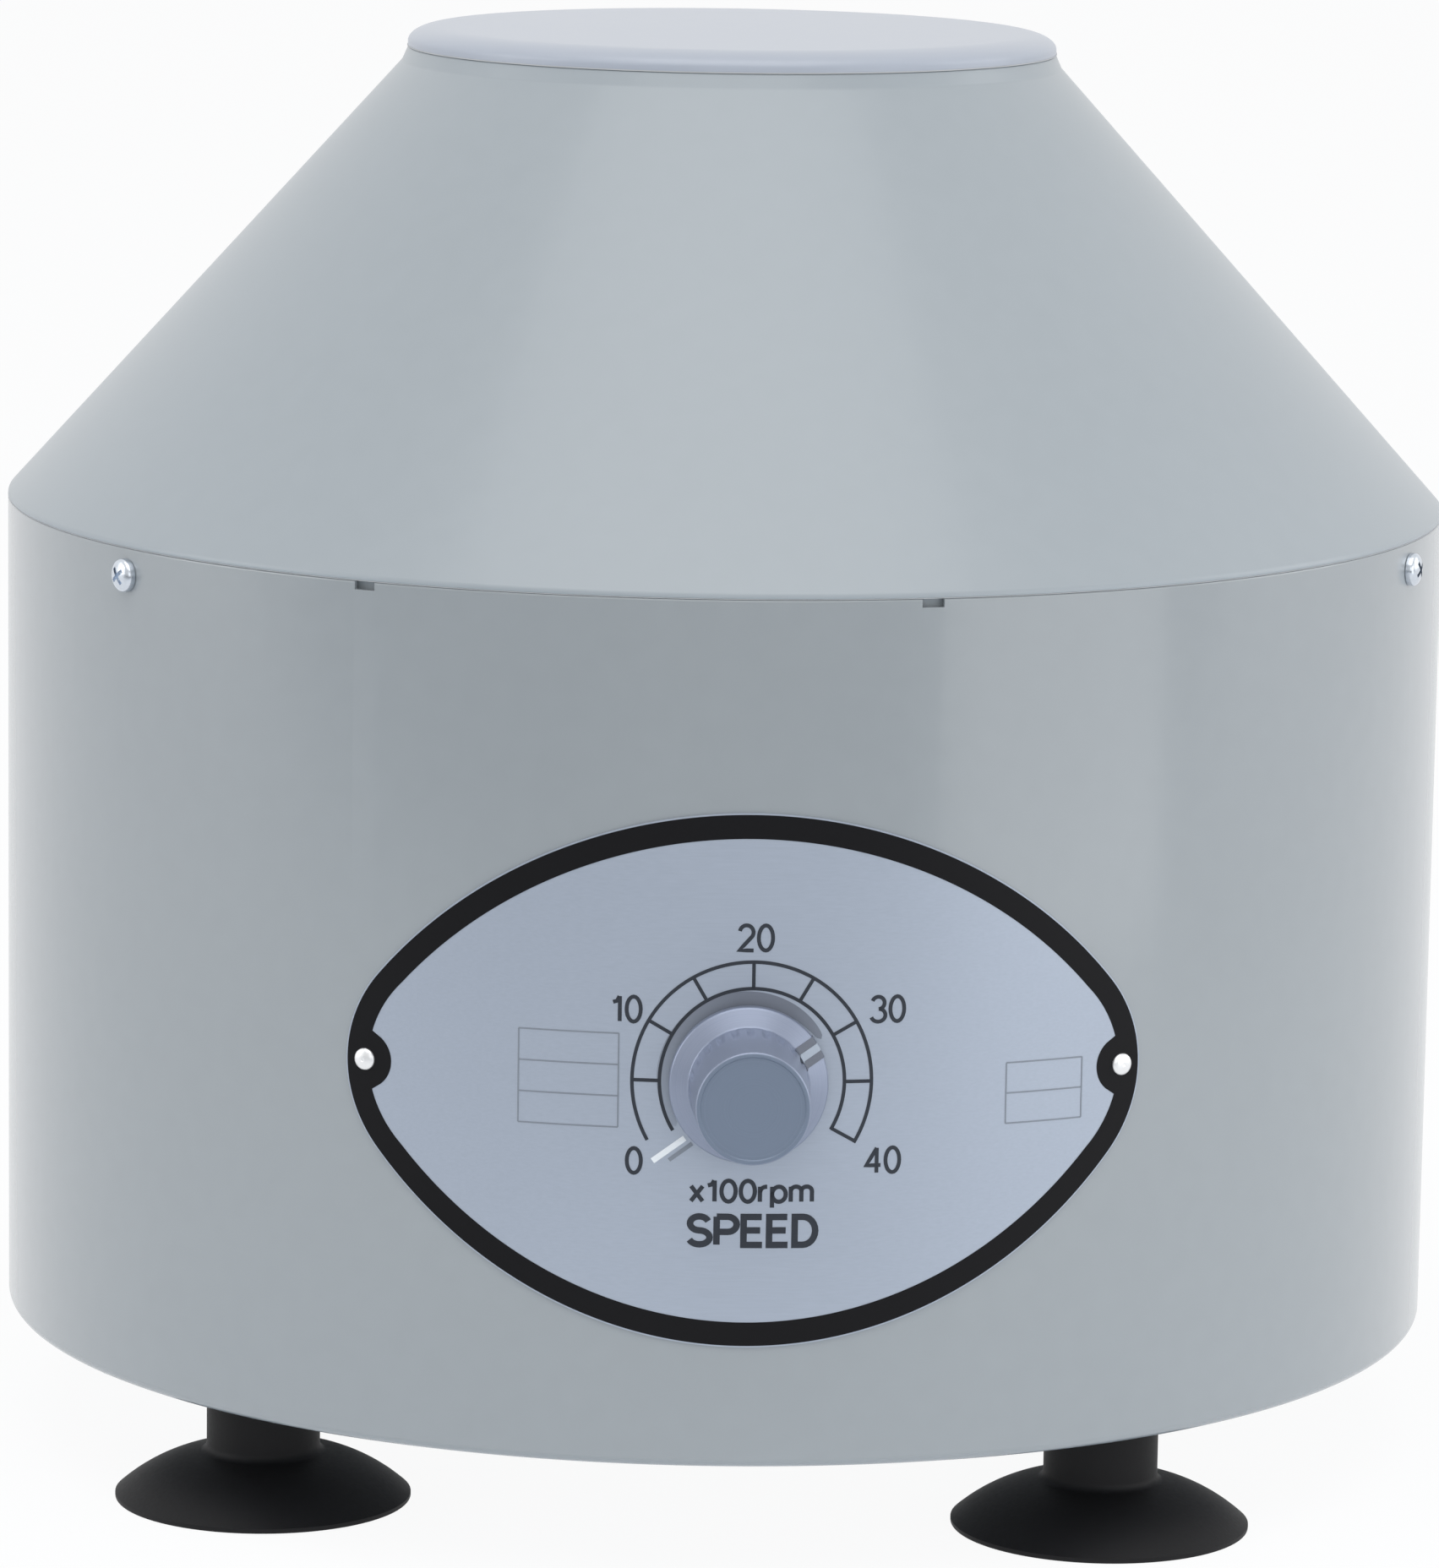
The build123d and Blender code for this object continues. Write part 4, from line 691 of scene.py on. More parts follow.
# Plain single-stroke figures and letters: each has its width and its strokes, a capital being one unit tall
GLYPHS: dict[str, tuple[float, list[list[Point2]]]] = {
    "0": (0.56, [bend(0.28, 0.5, 0.28, 0.5, 90, 450)]),
    "1": (0.34, [[(0.0, 0.76), (0.16, 0.81), (0.25, 1.0)], [(0.27, 1.0), (0.27, 0.0)]]),
    "2": (0.56, [bend(0.28, 0.72, 0.27, 0.28, 170, -38) + [(0.0, 0.0), (0.56, 0.0)]]),
    "3": (0.56, [bend(0.27, 0.75, 0.25, 0.25, 160, -85), bend(0.27, 0.26, 0.29, 0.26, 85, -162)]),
    "4": (0.58, [[(0.42, 0.0), (0.42, 1.0)], [(0.42, 1.0), (0.0, 0.3), (0.58, 0.3)]]),
    "5": (0.56, [[(0.5, 1.0), (0.1, 1.0), (0.04, 0.5)] + bend(0.27, 0.31, 0.28, 0.31, 130, -160)]),
    "6": (0.56, [bend(0.28, 0.3, 0.28, 0.3, 90, 450), bend(0.3, 0.5, 0.3, 0.5, 50, 180) + [(0.0, 0.3)]]),
    "x": (0.46, [[(0.0, 0.0), (0.46, 0.72)], [(0.0, 0.72), (0.46, 0.0)]]),
    "r": (0.28, [[(0.0, 0.72), (0.0, 0.0)], bend(0.26, 0.44, 0.26, 0.28, 180, 85)]),
    "p": (0.54, [[(0.0, 0.72), (0.0, -0.28)], bend(0.27, 0.36, 0.27, 0.36, 90, 450)]),
    "m": (
        0.84,
        [
            [(0.0, 0.72), (0.0, 0.0)],
            bend(0.21, 0.5, 0.21, 0.22, 180, 0) + [(0.42, 0.0)],
            bend(0.63, 0.5, 0.21, 0.22, 180, 0) + [(0.84, 0.0)],
        ],
    ),
    "S": (0.6, [bend(0.3, 0.75, 0.27, 0.25, 20, 270) + bend(0.3, 0.25, 0.3, 0.25, 90, -160)[1:]]),
    "P": (0.58, [[(0.0, 0.0), (0.0, 1.0)], [(0.0, 1.0)] + bend(0.32, 0.73, 0.26, 0.27, 90, -90) + [(0.0, 0.46)]]),
    "E": (0.54, [[(0.52, 1.0), (0.0, 1.0), (0.0, 0.0), (0.54, 0.0)], [(0.0, 0.52), (0.48, 0.52)]]),
    "D": (0.6, [[(0.0, 0.0), (0.0, 1.0)] + bend(0.24, 0.5, 0.36, 0.5, 90, -90) + [(0.0, 0.0)]]),
    "I": (0.0, [[(0.0, 1.0), (0.0, 0.0)]]),
    "O": (1.0, [bend(0.5, 0.5, 0.5, 0.5, 90, 450)]),
}
GLYPH_GAP = 0.2


def strip(mesh: BMesh, inner: Sequence[Point2], outer: Sequence[Point2], closed: bool, across: int = 1) -> None:
    """Fill the flat band between two rows of points with quads.

    Args:
        mesh: The mesh that gets them.
        inner: One row, in millimetres.
        outer: The other, with as many points.
        closed: Whether the band closes on itself.
        across: How many quads lie across it.
    """
    rows = []
    for near, far in zip(inner, outer):
        steps = [Vector(near).lerp(Vector(far), step / across) * MM for step in range(across + 1)]
        rows.append([mesh.verts.new(spot.to_3d()) for spot in steps])
    pairs = list(zip(rows, rows[1:])) + ([(rows[-1], rows[0])] if closed else [])
    for one, two in pairs:
        for step in range(across):
            mesh.faces.new((one[step], one[step + 1], two[step + 1], two[step]))


def ribbon(mesh: BMesh, points: Sequence[Point2], width: float) -> None:
    """Draw a flat line of even width, in runs short enough to bend; it closes where it ends as it began.

    Args:
        mesh: The mesh that gets it.
        points: The line's middle, in millimetres.
        width: Its width in millimetres.
    """
    # The longest run in millimetres, and the least share of its width that a sharp corner is drawn with
    longest, blunt = 1.2, 0.6
    spots = [Vector(point) for point in points]
    closed = (spots[0] - spots[-1]).length < 1e-6
    path: list[Vector] = []
    for one, two in zip(spots, spots[1:]):
        steps = max(1, math.ceil((two - one).length / longest))
        path += [one.lerp(two, step / steps) for step in range(steps)]
    if not closed:
        path.append(spots[-1])
    near, far = [], []
    for number, here in enumerate(path):
        before = path[number - 1] if closed or number else here
        after = path[(number + 1) % len(path)] if closed or number + 1 < len(path) else here
        arriving, leaving = (here - before).normalized(), (after - here).normalized()
        along = (arriving + leaving).normalized()
        half = width / 2 / max(along.dot(arriving), along.dot(leaving), blunt)
        side = Vector((-along.y, along.x)) * half
        near.append(tuple(here - side))
        far.append(tuple(here + side))
    strip(mesh, near, far, closed)


def write(mesh: BMesh, text: str, height: float, x: float, y: float, stroke: float, width: float | None = None) -> None:
    """Write a word flat, in strokes of even width.

    Args:
        mesh: The mesh that gets it.
        text: Figures or letters that GLYPHS has.
        height: Height of a capital, in millimetres.
        x: Middle of the word.
        y: Its base line.
        stroke: Width of a stroke.
        width: Full width of the word, if not its natural one.
    """
    total = sum(GLYPHS[letter][0] for letter in text) + GLYPH_GAP * (len(text) - 1)
    tall = height - stroke
    wide = (width - stroke) / total if width and total else tall
    left = x - total * wide / 2
    for letter in text:
        for run in GLYPHS[letter][1]:
            ribbon(mesh, [(left + a * wide, y + stroke / 2 + b * tall) for a, b in run], stroke)
        left += (GLYPHS[letter][0] + GLYPH_GAP) * wide


def raised(name: str, mesh: BMesh, thickness: float, lift: float = 0.0) -> Object:
    """Give flat print its thickness, downwards from its face.

    Args:
        name: The piece's name.
        mesh: The flat print, which is freed.
        thickness: How thick it is, in millimetres.
        lift: Height of its face over the flat plane.

    Returns:
        The print with its thickness still a modifier.
    """
    bmesh.ops.remove_doubles(mesh, verts=mesh.verts, dist=1e-7)
    mesh.normal_update()
    bmesh.ops.reverse_faces(mesh, faces=[face for face in mesh.faces if face.normal.z < 0])
    bmesh.ops.translate(mesh, verts=mesh.verts, vec=(0, 0, lift * MM))
    made = mesh_object(name, mesh)
    body = made.modifiers.new("ink", "SOLIDIFY")
    body.thickness, body.offset = thickness * MM, -1.0
    return made


# Geometry Nodes trees and what repeats

FASTENER_SIDES = 32


def new_tree(name: str, sizes: dict[str, str]) -> tuple[NodeTree, dict[str, NodeSocket]]:
    """Start a Geometry Nodes tree with named inputs.

    Args:
        name: The tree's name.
        sizes: Kind of input by its name, after the geometry.

    Returns:
        The tree, and the sources of its inputs by name.
    """
    tree = bpy.data.node_groups.new(name, "GeometryNodeTree")
    tree.interface.new_socket("Geometry", in_out="INPUT", socket_type="NodeSocketGeometry")
    for label, kind in sizes.items():
        tree.interface.new_socket(label, in_out="INPUT", socket_type=f"NodeSocket{kind}")
    tree.interface.new_socket("Geometry", in_out="OUTPUT", socket_type="NodeSocketGeometry")
    given = add_node(tree, "NodeGroupInput").outputs
    return tree, {label: given[label] for label in ("Geometry", *sizes)}


def run_tree(piece: Object, tree: NodeTree, values: dict[str, object]) -> None:
    """Put a tree on a piece as its last modifier, and set its inputs by their identifiers."""
    modifier = piece.modifiers.new(tree.name, "NODES")
    modifier.node_group = tree
    sockets = {item.name: item for item in tree.interface.items_tree if item.in_out == "INPUT"}
    for label, value in values.items():
        modifier[sockets[label].identifier] = value


def round_axis(tree: NodeTree, angle: Source, reach: Source, level: Source) -> Node:
    """Find a place round the machine's axis.

    Args:
        tree: The tree that asks.
        angle: Its direction from the front, in radians.
        reach: Its distance from the axis.
        level: Its height.

    Returns:
        The node that holds the place.
    """
    back = add_node(tree, "ShaderNodeMath", {0: reach, 1: -1.0}, operation="MULTIPLY")
    sine = add_node(tree, "ShaderNodeMath", {0: angle}, operation="SINE")
    cosine = add_node(tree, "ShaderNodeMath", {0: angle}, operation="COSINE")
    across = add_node(tree, "ShaderNodeMath", {0: sine, 1: reach}, operation="MULTIPLY")
    along = add_node(tree, "ShaderNodeMath", {0: cosine, 1: back}, operation="MULTIPLY")
    return add_node(tree, "ShaderNodeCombineXYZ", {"X": across, "Y": along, "Z": level})


def ring_tree() -> NodeTree:
    """Build the tree that repeats one piece round the machine's axis, each copy spun by chance about its own.

    Returns:
        The tree. Its tilt is 0 for a piece that points up, 90 degrees for outward and 180 for down.
    """
    sizes = dict.fromkeys(("First angle", "Radius", "Height", "Tilt"), "Float")
    sizes |= {"Piece": "Object", "Count": "Int", "Seed": "Int", "Material": "Material"}
    tree, given = new_tree("repeat_round", sizes)
    line = add_node(tree, "GeometryNodeMeshLine", {"Count": given["Count"], "Offset": (0.0, 0.0, 0.0)})
    step = add_node(tree, "ShaderNodeMath", {0: 2 * math.pi, 1: given["Count"]}, operation="DIVIDE")
    turns = {0: add_node(tree, "GeometryNodeInputIndex"), 1: step, 2: given["First angle"]}
    angle = add_node(tree, "ShaderNodeMath", turns, operation="MULTIPLY_ADD")
    spot = round_axis(tree, angle, given["Radius"], given["Height"])
    seats = add_node(tree, "GeometryNodeSetPosition", {"Geometry": line, "Position": spot})
    turn = add_node(tree, "ShaderNodeCombineXYZ", {"X": given["Tilt"], "Z": angle})
    model = add_node(tree, "GeometryNodeObjectInfo", {"Object": given["Piece"]}).outputs["Geometry"]
    copies = add_node(tree, "GeometryNodeInstanceOnPoints", {"Points": seats, "Instance": model, "Rotation": turn})
    spins = {"Min": (0.0, 0.0, 0.0), "Max": (0.0, 0.0, math.pi), "Seed": given["Seed"]}
    chance = add_node(tree, "FunctionNodeRandomValue", spins, data_type="FLOAT_VECTOR")
    spun = add_node(tree, "GeometryNodeRotateInstances", {"Instances": copies, "Rotation": chance})
    real = add_node(tree, "GeometryNodeRealizeInstances", {"Geometry": spun})
    dressed = add_node(tree, "GeometryNodeSetMaterial", {"Geometry": real, "Material": given["Material"]})
    add_node(tree, "NodeGroupOutput", {"Geometry": dressed})
    return tree


def wall_tree() -> NodeTree:
    """Build the tree that lays flat print on the drum's wall.

    Returns:
        The tree. X of the flat print runs round the wall, Y up it and Z out of it.
    """
    sizes = {"Wall radius": "Float", "Middle height": "Float", "Material": "Material"}
    tree, given = new_tree("lay_on_wall", sizes)
    parts = add_node(tree, "ShaderNodeSeparateXYZ", {"Vector": add_node(tree, "GeometryNodeInputPosition")}).outputs
    angle = add_node(tree, "ShaderNodeMath", {0: parts["X"], 1: given["Wall radius"]}, operation="DIVIDE")
    reach = add_node(tree, "ShaderNodeMath", {0: parts["Z"], 1: given["Wall radius"]}, operation="ADD")
    level = add_node(tree, "ShaderNodeMath", {0: parts["Y"], 1: given["Middle height"]}, operation="ADD")
    spot = round_axis(tree, angle, reach, level)
    bent = add_node(tree, "GeometryNodeSetPosition", {"Geometry": given["Geometry"], "Position": spot})
    dressed = add_node(tree, "GeometryNodeSetMaterial", {"Geometry": bent, "Material": given["Material"]})
    add_node(tree, "NodeGroupOutput", {"Geometry": dressed})
    return tree


def flute_tree() -> NodeTree:
    """Build the tree that mills grip flutes into a turned blank.

    Returns:
        The tree. It draws the flank in towards Z, from a low height on, and runs out at a high one.
    """
    labels = ("Flutes", "Depth", "Low", "Full", "High", "Least radius")
    tree, given = new_tree("mill_flutes", dict.fromkeys(labels, "Float"))
    parts = add_node(tree, "ShaderNodeSeparateXYZ", {"Vector": add_node(tree, "GeometryNodeInputPosition")}).outputs
    flat = add_node(tree, "ShaderNodeCombineXYZ", {"X": parts["X"], "Y": parts["Y"]})
    radius = add_node(tree, "ShaderNodeVectorMath", {0: flat}, operation="LENGTH")
    turn = add_node(tree, "ShaderNodeMath", {0: parts["Y"], 1: parts["X"]}, operation="ARCTAN2")
    many = add_node(tree, "ShaderNodeMath", {0: turn, 1: given["Flutes"]}, operation="MULTIPLY")
    wave = add_node(tree, "ShaderNodeMath", {0: many}, operation="COSINE")
    # The wave's lowest part stays uncut, as the land between two flutes
    cut = add_node(tree, "ShaderNodeMapRange", {"Value": wave, "From Min": -0.2, "From Max": 1.0})
    up = {"Value": parts["Z"], "From Min": given["Low"], "From Max": given["Full"]}
    down = {"Value": parts["Z"], "From Min": given["Full"], "From Max": given["High"], "To Min": 1.0, "To Max": 0.0}
    rise, fall = (add_node(tree, "ShaderNodeMapRange", ends, interpolation_type="SMOOTHSTEP") for ends in (up, down))
    window = add_node(tree, "ShaderNodeMath", {0: rise, 1: fall}, operation="MULTIPLY")
    outside = add_node(tree, "ShaderNodeMath", {0: radius, 1: given["Least radius"]}, operation="GREATER_THAN")
    amount = cut
    for share in (window, outside, given["Depth"], -1.0):
        amount = add_node(tree, "ShaderNodeMath", {0: amount, 1: share}, operation="MULTIPLY")
    spoke = add_node(tree, "ShaderNodeVectorMath", {0: flat}, operation="NORMALIZE")
    move = add_node(tree, "ShaderNodeVectorMath", {0: spoke, "Scale": amount}, operation="SCALE")
    milled = add_node(tree, "GeometryNodeSetPosition", {"Geometry": given["Geometry"], "Offset": move})
    add_node(tree, "NodeGroupOutput", {"Geometry": milled})
    return tree


class Facing(Enum):
    """Which way the pieces of a ring point, as their tilt in radians."""

    UP = 0.0
    OUT = math.pi / 2
    DOWN = math.pi


@dataclass(frozen=True)
class Ring:
    """Seats spaced evenly round the machine's axis.

    Attributes:
        count: How many there are.
        first: Angle of the first from the front, in degrees.
        radius: Their distance from the axis, in millimetres.
        height: Their height.
        facing: Which way a piece on them points.
    """

    count: int
    first: float
    radius: float
    height: float
    facing: Facing

    def repeat(self, name: str, blank: Object, finish: Finish, seed: int, tree: NodeTree) -> Object:
        """Set a copy of a piece on each seat.

        Args:
            name: The new object's name.
            blank: The piece, which is removed.
            finish: What it is made of.
            seed: Number that fixes how each copy is spun.
            tree: The tree that repeats a piece round the axis.

        Returns:
            The copies as one plain mesh.
        """
        holder = mesh_object(name, bmesh.new())
        values = {
            "Piece": blank,
            "Count": self.count,
            "First angle": math.radians(self.first),
            "Radius": self.radius * MM,
            "Height": self.height * MM,
            "Tilt": self.facing.value,
            "Seed": seed,
            "Material": finish.material(),
        }
        run_tree(holder, tree, values)
        made = settled(holder)
        bpy.data.objects.remove(blank)
        return made


@dataclass
class Screw:
    """A pan-head screw with a cross recess and a cut thread, in millimetres, its seat at height 0.

    Attributes:
        head: Radius of the head.
        height: Height of the head.
        shank: Radius of the thread.
        reach: Length under the head.
        pitch: Pitch of the thread.
        recess: Width of the cross recess's slots.
        depth: Their depth.
    """

    head: float
    height: float
    shank: float
    reach: float
    pitch: float
    recess: float = 0.8
    depth: float = 0.85

    def blank(self) -> Object:
        """Turn the head and the thread, then cut the recess.

        Returns:
            A plain mesh to repeat.
        """
        tip, core, neck, flank = 0.6 * self.shank, 0.82 * self.shank, 0.85 * self.shank, 0.42 * self.height
        chamfer, dome_steps, slot_share, clear = 0.1, 8, 1.15, 0.02
        outline: list[Point2] = [(0.0, -self.reach), (tip, -self.reach)]
        for turn in range(int((self.reach - 0.6) / self.pitch)):
            base = -self.reach + 0.4 + turn * self.pitch
            outline += [(core, base), (self.shank, base + self.pitch / 2)]
        outline += [(neck, -chamfer), (neck, 0.0), (self.head - chamfer, 0.0), (self.head, chamfer), (self.head, flank)]
        for step in range(1, dome_steps):
            lean = math.pi / 2 * step / dome_steps
            outline.append((self.head * math.cos(lean), flank + (self.height - flank) * math.sin(lean)))
        outline.append((0.0, self.height))
        cross = bmesh.new()
        for turn in (0.0, math.pi / 2):
            size = Matrix.Diagonal((self.head * slot_share * MM, self.recess * MM, 2 * self.depth * MM, 1.0))
            place = Matrix.Translation((0, 0, (self.height + clear) * MM)) @ Matrix.Rotation(turn, 4, "Z") @ size
            bmesh.ops.create_cube(cross, size=1.0, matrix=place)
        return carve(turned("screw_blank", outline, FASTENER_SIDES), cross, crossing=True)


@dataclass
class Rivet:
    """A domed blind rivet, in millimetres, its seat at height 0.

    Attributes:
        head: Radius of the head.
        height: Height of the head.
        shank: Radius of the shank.
        reach: Length under the head.
    """

    head: float
    height: float
    shank: float
    reach: float

    def blank(self) -> Object:
        """Turn the dome, with the small dimple that the mandrel leaves.

        Returns:
            A plain mesh to repeat.
        """
        flank, dome_steps, dimple, dimple_rim, dimple_floor = 0.2, 8, 0.16, 0.9, 0.86
        outline: list[Point2] = [(0.0, -self.reach), (self.shank, -self.reach), (self.shank, 0.0), (self.head, 0.0)]
        outline.append((self.head, self.height * flank))
        for step in range(1, dome_steps):
            lean = math.pi / 2 * step / dome_steps
            outline.append((self.head * math.cos(lean), self.height * (flank + (1 - flank) * math.sin(lean))))
        outline += [(self.head * dimple, self.height * dimple_rim), (0.0, self.height * dimple_floor)]
        return turned("rivet_blank", outline, FASTENER_SIDES)


def fasteners(
    node: str, finish: Finish, rings: Sequence[tuple[Screw | Rivet, Ring]], tree: NodeTree
) -> Object:
    """Set detailed screws or rivets in the place of a CAD node.

    Args:
        node: The node.
        finish: What they are made of.
        rings: Each fastener with its seats.
        tree: The tree that repeats a piece round the axis.

    Returns:
        The fasteners as one mesh.
    """
    first_seed = 7
    parts = [
        ring.repeat(f"{node}_ring_{number}", kind.blank(), finish, first_seed + number, tree)
        for number, (kind, ring) in enumerate(rings)
    ]
    made = joined(f"{node}_detailed", parts)
    finish.cover(made)
    return fitted(made, "housing", (node,))


# Sub-assemblies


@dataclass
class Shell:
    """The drum, the cone and lid over it, the base plate, the deck and the four suction feet.

    Lengths are in millimetres and angles in degrees, anticlockwise from the front as seen from above. The screws'
    holes are those of the drum and of the skirt; the neck's is the potentiometer's. The holes at the back have their
    angle, their height and their size.
    """

    drum_bottom: float = 22.6
    drum_top: float = 170.4
    sheet: float = 1.0
    flange_inner: float = 117.0
    flange_sheet: float = 1.2
    cone_base: float = 170.5
    lip_top: float = 171.2
    collar_base: float = 249.6
    collar_sheet: float = 0.4
    neck_top: float = 251.6
    neck_radius: float = 58.9
    neck_root: float = 0.6
    neck_lean: float = 0.6
    neck_opening: float = 56.0
    skirt_radius: float = 128.6
    skirt_bottom: float = 155.8
    lid_radius: float = 58.4
    lid_bottom: float = 251.8
    lid_top: float = 255.3
    lid_sheet: float = 1.2
    lid_crown: float = 6.0
    lid_edge: float = 0.7
    lid_inner_edge: float = 1.2
    screw_angle: float = -54.4
    screw_height: float = 165.7
    notch_angle: float = -8.3
    notch_spread: float = 21.5
    notch_size: Point2 = (3.8, 3.0)
    screw_holes: Point2 = (1.65, 1.5)
    neck_hole: float = 4.7
    rivet_hole: float = 1.25
    switch_hole: tuple[float, float, float, float] = (155.0, 62.0, 13.2, 19.2)
    fuse_hole: tuple[float, float, float] = (205.0, 62.0, 6.2)
    cord_hole: tuple[float, float, float] = (180.0, 48.0, 7.7)
    foot_angle: float = -51.5
    foot_radius: float = 104.5
    base_top: float = 25.8
    base_bottom: float = 23.8
    deck_top: float = 130.0
    sides: int = 360
    thin_sides: int = 240
    foot_sides: int = 96

    def build(self, tree: NodeTree) -> list[Object]:
        """Make the shell's sheet parts and feet, dress the rest and set the screws.

        Args:
            tree: The tree that repeats a piece round the axis.

        Returns:
            The new pieces.
        """
        GALVANISED.dress("base_plate", "deck", "lid_ring")
        RUBBER.dress("motor_isolators", "lid_gasket", "cord_bushing")
        ZINC.dress("deck_pillars")
        made = [self.build_drum(), self.build_cone(), self.build_lid(), self.build_feet(tree)]
        # Pale rings in the seam and under the lid: painted light over the shade in those gaps
        made.append(self.build_bead("seam_sealer", 129.2, DRUM_RADIUS + 0.02, self.drum_top, self.cone_base, "housing"))
        made.append(self.build_bead("lid_felt", 57.3, self.lid_radius + 0.1, self.neck_top, self.lid_bottom, "lid"))
        small = Screw(2.9, 2.1, 1.45, 8.0, 0.5, 0.7, 1.0)
        short, long = (Screw(3.8, 1.6, 2.0, reach, 0.7) for reach in (4.2, 11.0))
        foot, motor = (Screw(4.6, 3.0, 2.5, reach, 0.8, 0.9, 1.3) for reach in (16.0, 19.0))
        for node, sets in (
            ("cone_screws", [(small, Ring(3, self.screw_angle, DRUM_RADIUS, self.screw_height, Facing.OUT))]),
            ("base_screws", [(short, Ring(3, 60.0, 123.5, self.drum_bottom, Facing.DOWN))]),
            ("foot_screws", [(foot, Ring(4, self.foot_angle, self.foot_radius, self.base_top, Facing.UP))]),
            (
                "pillar_screws",
                [
                    (long, Ring(4, 45.0, 80.0, self.base_bottom, Facing.DOWN)),
                    (long, Ring(4, 45.0, 80.0, self.deck_top, Facing.UP)),
                ],
            ),
            ("motor_screws", [(motor, Ring(3, 60.0, 46.0, self.deck_top, Facing.UP))]),
        ):
            made.append(fasteners(node, ZINC, sets, tree))
        return made

    def build_drum(self) -> Object:
        """Roll the drum, turn its foot flange in and cut its openings.

        Returns:
            The drum.
        """
        inner = DRUM_RADIUS - self.sheet
        flange_top = self.drum_bottom + self.flange_sheet
        corners = [
            (self.flange_inner, self.drum_bottom),
            (DRUM_RADIUS, self.drum_bottom),
            (DRUM_RADIUS, self.drum_top),
            (inner, self.drum_top),
            (inner, flange_top),
            (self.flange_inner, flange_top),
        ]
        outline = rounded(corners, {1: 1.6, 2: 0.4, 4: 0.4})
        start, end = inner - 2, DRUM_RADIUS + 1
        cutters = Cutters()
        for third in (0.0, 120.0, 240.0):
            cutters.peg(self.screw_angle + third, self.screw_height, self.screw_holes[0], start, end)
            for side in (-1, 1):
                notch = self.notch_angle + third + side * self.notch_spread
                cutters.block(notch, self.drum_top, *self.notch_size, inner - 1, end)
        cutters.peg(0.0, DIAL_HEIGHT, self.neck_hole, start, end)
        for side in (-1, 1):
            cutters.peg(side * RIVET_ANGLE, DIAL_HEIGHT, self.rivet_hole, start, end)
        cutters.block(*self.switch_hole, start, end)
        cutters.peg(*self.fuse_hole, start, end)
        cutters.peg(*self.cord_hole, start, end)
        drum = carve(turned("drum_rolled", outline, self.sides), cutters.mesh)
        DRUM_ENAMEL.cover(drum)
        return fitted(drum, "housing", ("drum",))

    def build_cone(self) -> Object:
        """Spin the cone with its lip, its neck and the skirt inside the drum.

        Returns:
            The cone.
        """
        slope = (DRUM_RADIUS - self.neck_radius) / (self.collar_base - self.lip_top)
        across = self.sheet * math.hypot(1.0, slope)
        under = self.collar_base - self.collar_sheet
        skirt = self.skirt_radius - self.sheet
        corners = [
            (DRUM_RADIUS, self.cone_base),
            (DRUM_RADIUS, self.lip_top),
            (self.neck_radius + self.neck_root * slope, self.collar_base - self.neck_root),
            (self.neck_radius - self.neck_lean, self.neck_top),
            (self.neck_opening, self.neck_top),
            (self.neck_opening, under),
            (DRUM_RADIUS - (under - self.lip_top) * slope - across, under),
            (skirt, self.lip_top + (DRUM_RADIUS - across - skirt) / slope),
            (skirt, self.skirt_bottom),
            (self.skirt_radius, self.skirt_bottom),
            (self.skirt_radius, self.cone_base),
        ]
        outline = rounded(corners, {0: 0.1, 1: 1.2, 2: 1.6, 3: 0.4, 4: 0.9})
        cutters = Cutters()
        for third in (0.0, 120.0, 240.0):
            angle, hole = self.screw_angle + third, self.screw_holes[1]
            cutters.peg(angle, self.screw_height, hole, skirt - 2, self.skirt_radius + 2)
        cone = carve(turned("cone_spun", outline, self.sides), cutters.mesh)
        CONE_ENAMEL.cover(cone)
        return fitted(cone, "housing", ("top_cone",))

    def build_lid(self) -> Object:
        """Press the lid.

        Returns:
            The lid, which lifts off.
        """
        under = self.lid_top - self.lid_sheet
        inside = self.lid_radius - self.lid_sheet
        flat = self.lid_radius - self.lid_crown
        low, turn = self.lid_bottom + self.lid_edge, self.lid_bottom + self.lid_inner_edge
        inner = bend(flat, turn, inside - flat, under - turn, 90, 0, 9) + [(inside, self.lid_bottom)]
        outer = bend(flat, low, self.lid_crown, self.lid_top - low, 0, 90, 6)
        outline = [(0.0, under)] + inner + [(self.lid_radius, self.lid_bottom)] + outer + [(0.0, self.lid_top)]
        lid = turned("lid_pressed", outline, self.thin_sides)
        LID_ENAMEL.cover(lid)
        return fitted(lid, "lid", ("lid",))

    def build_bead(self, name: str, inner: float, outer: float, low: float, high: float, body: str) -> Object:
        """Fill a narrow gap with a pale ring, a hair thinner than the gap, as painted light over the gap's shade.

        Args:
            name: The piece's name.
            inner: Its inner radius.
            outer: Its outer radius.
            low: Height of the gap's lower side.
            high: Height of its upper side.
            body: The body that it rides on.

        Returns:
            The ring.
        """
        gap = 0.01
        outline = [(inner, low + gap), (outer, low + gap), (outer, high - gap), (inner, high - gap)]
        bead = turned(name, outline, self.thin_sides)
        GAP_LIGHT_FILL.cover(bead)
        return fitted(bead, body)

    def build_feet(self, tree: NodeTree) -> Object:
        """Mould one suction foot and set four of them round the base.

        Args:
            tree: The tree that repeats a piece round the axis.

        Returns:
            The four feet.
        """
        lip, lip_top, neck, neck_base, bulge = 26.1, 0.9, 10.0, 8.6, 1.3
        bore, bore_end, hollow, hollow_top, flank_steps = 2.55, 8.8, 22.5, 1.5, 24
        start, end = Vector((lip, lip_top)), Vector((neck, neck_base))
        along = (end - start).normalized()
        pull = (start + end) / 2 + Vector((-along.y, along.x)) * (-2 * bulge)
        flank = []
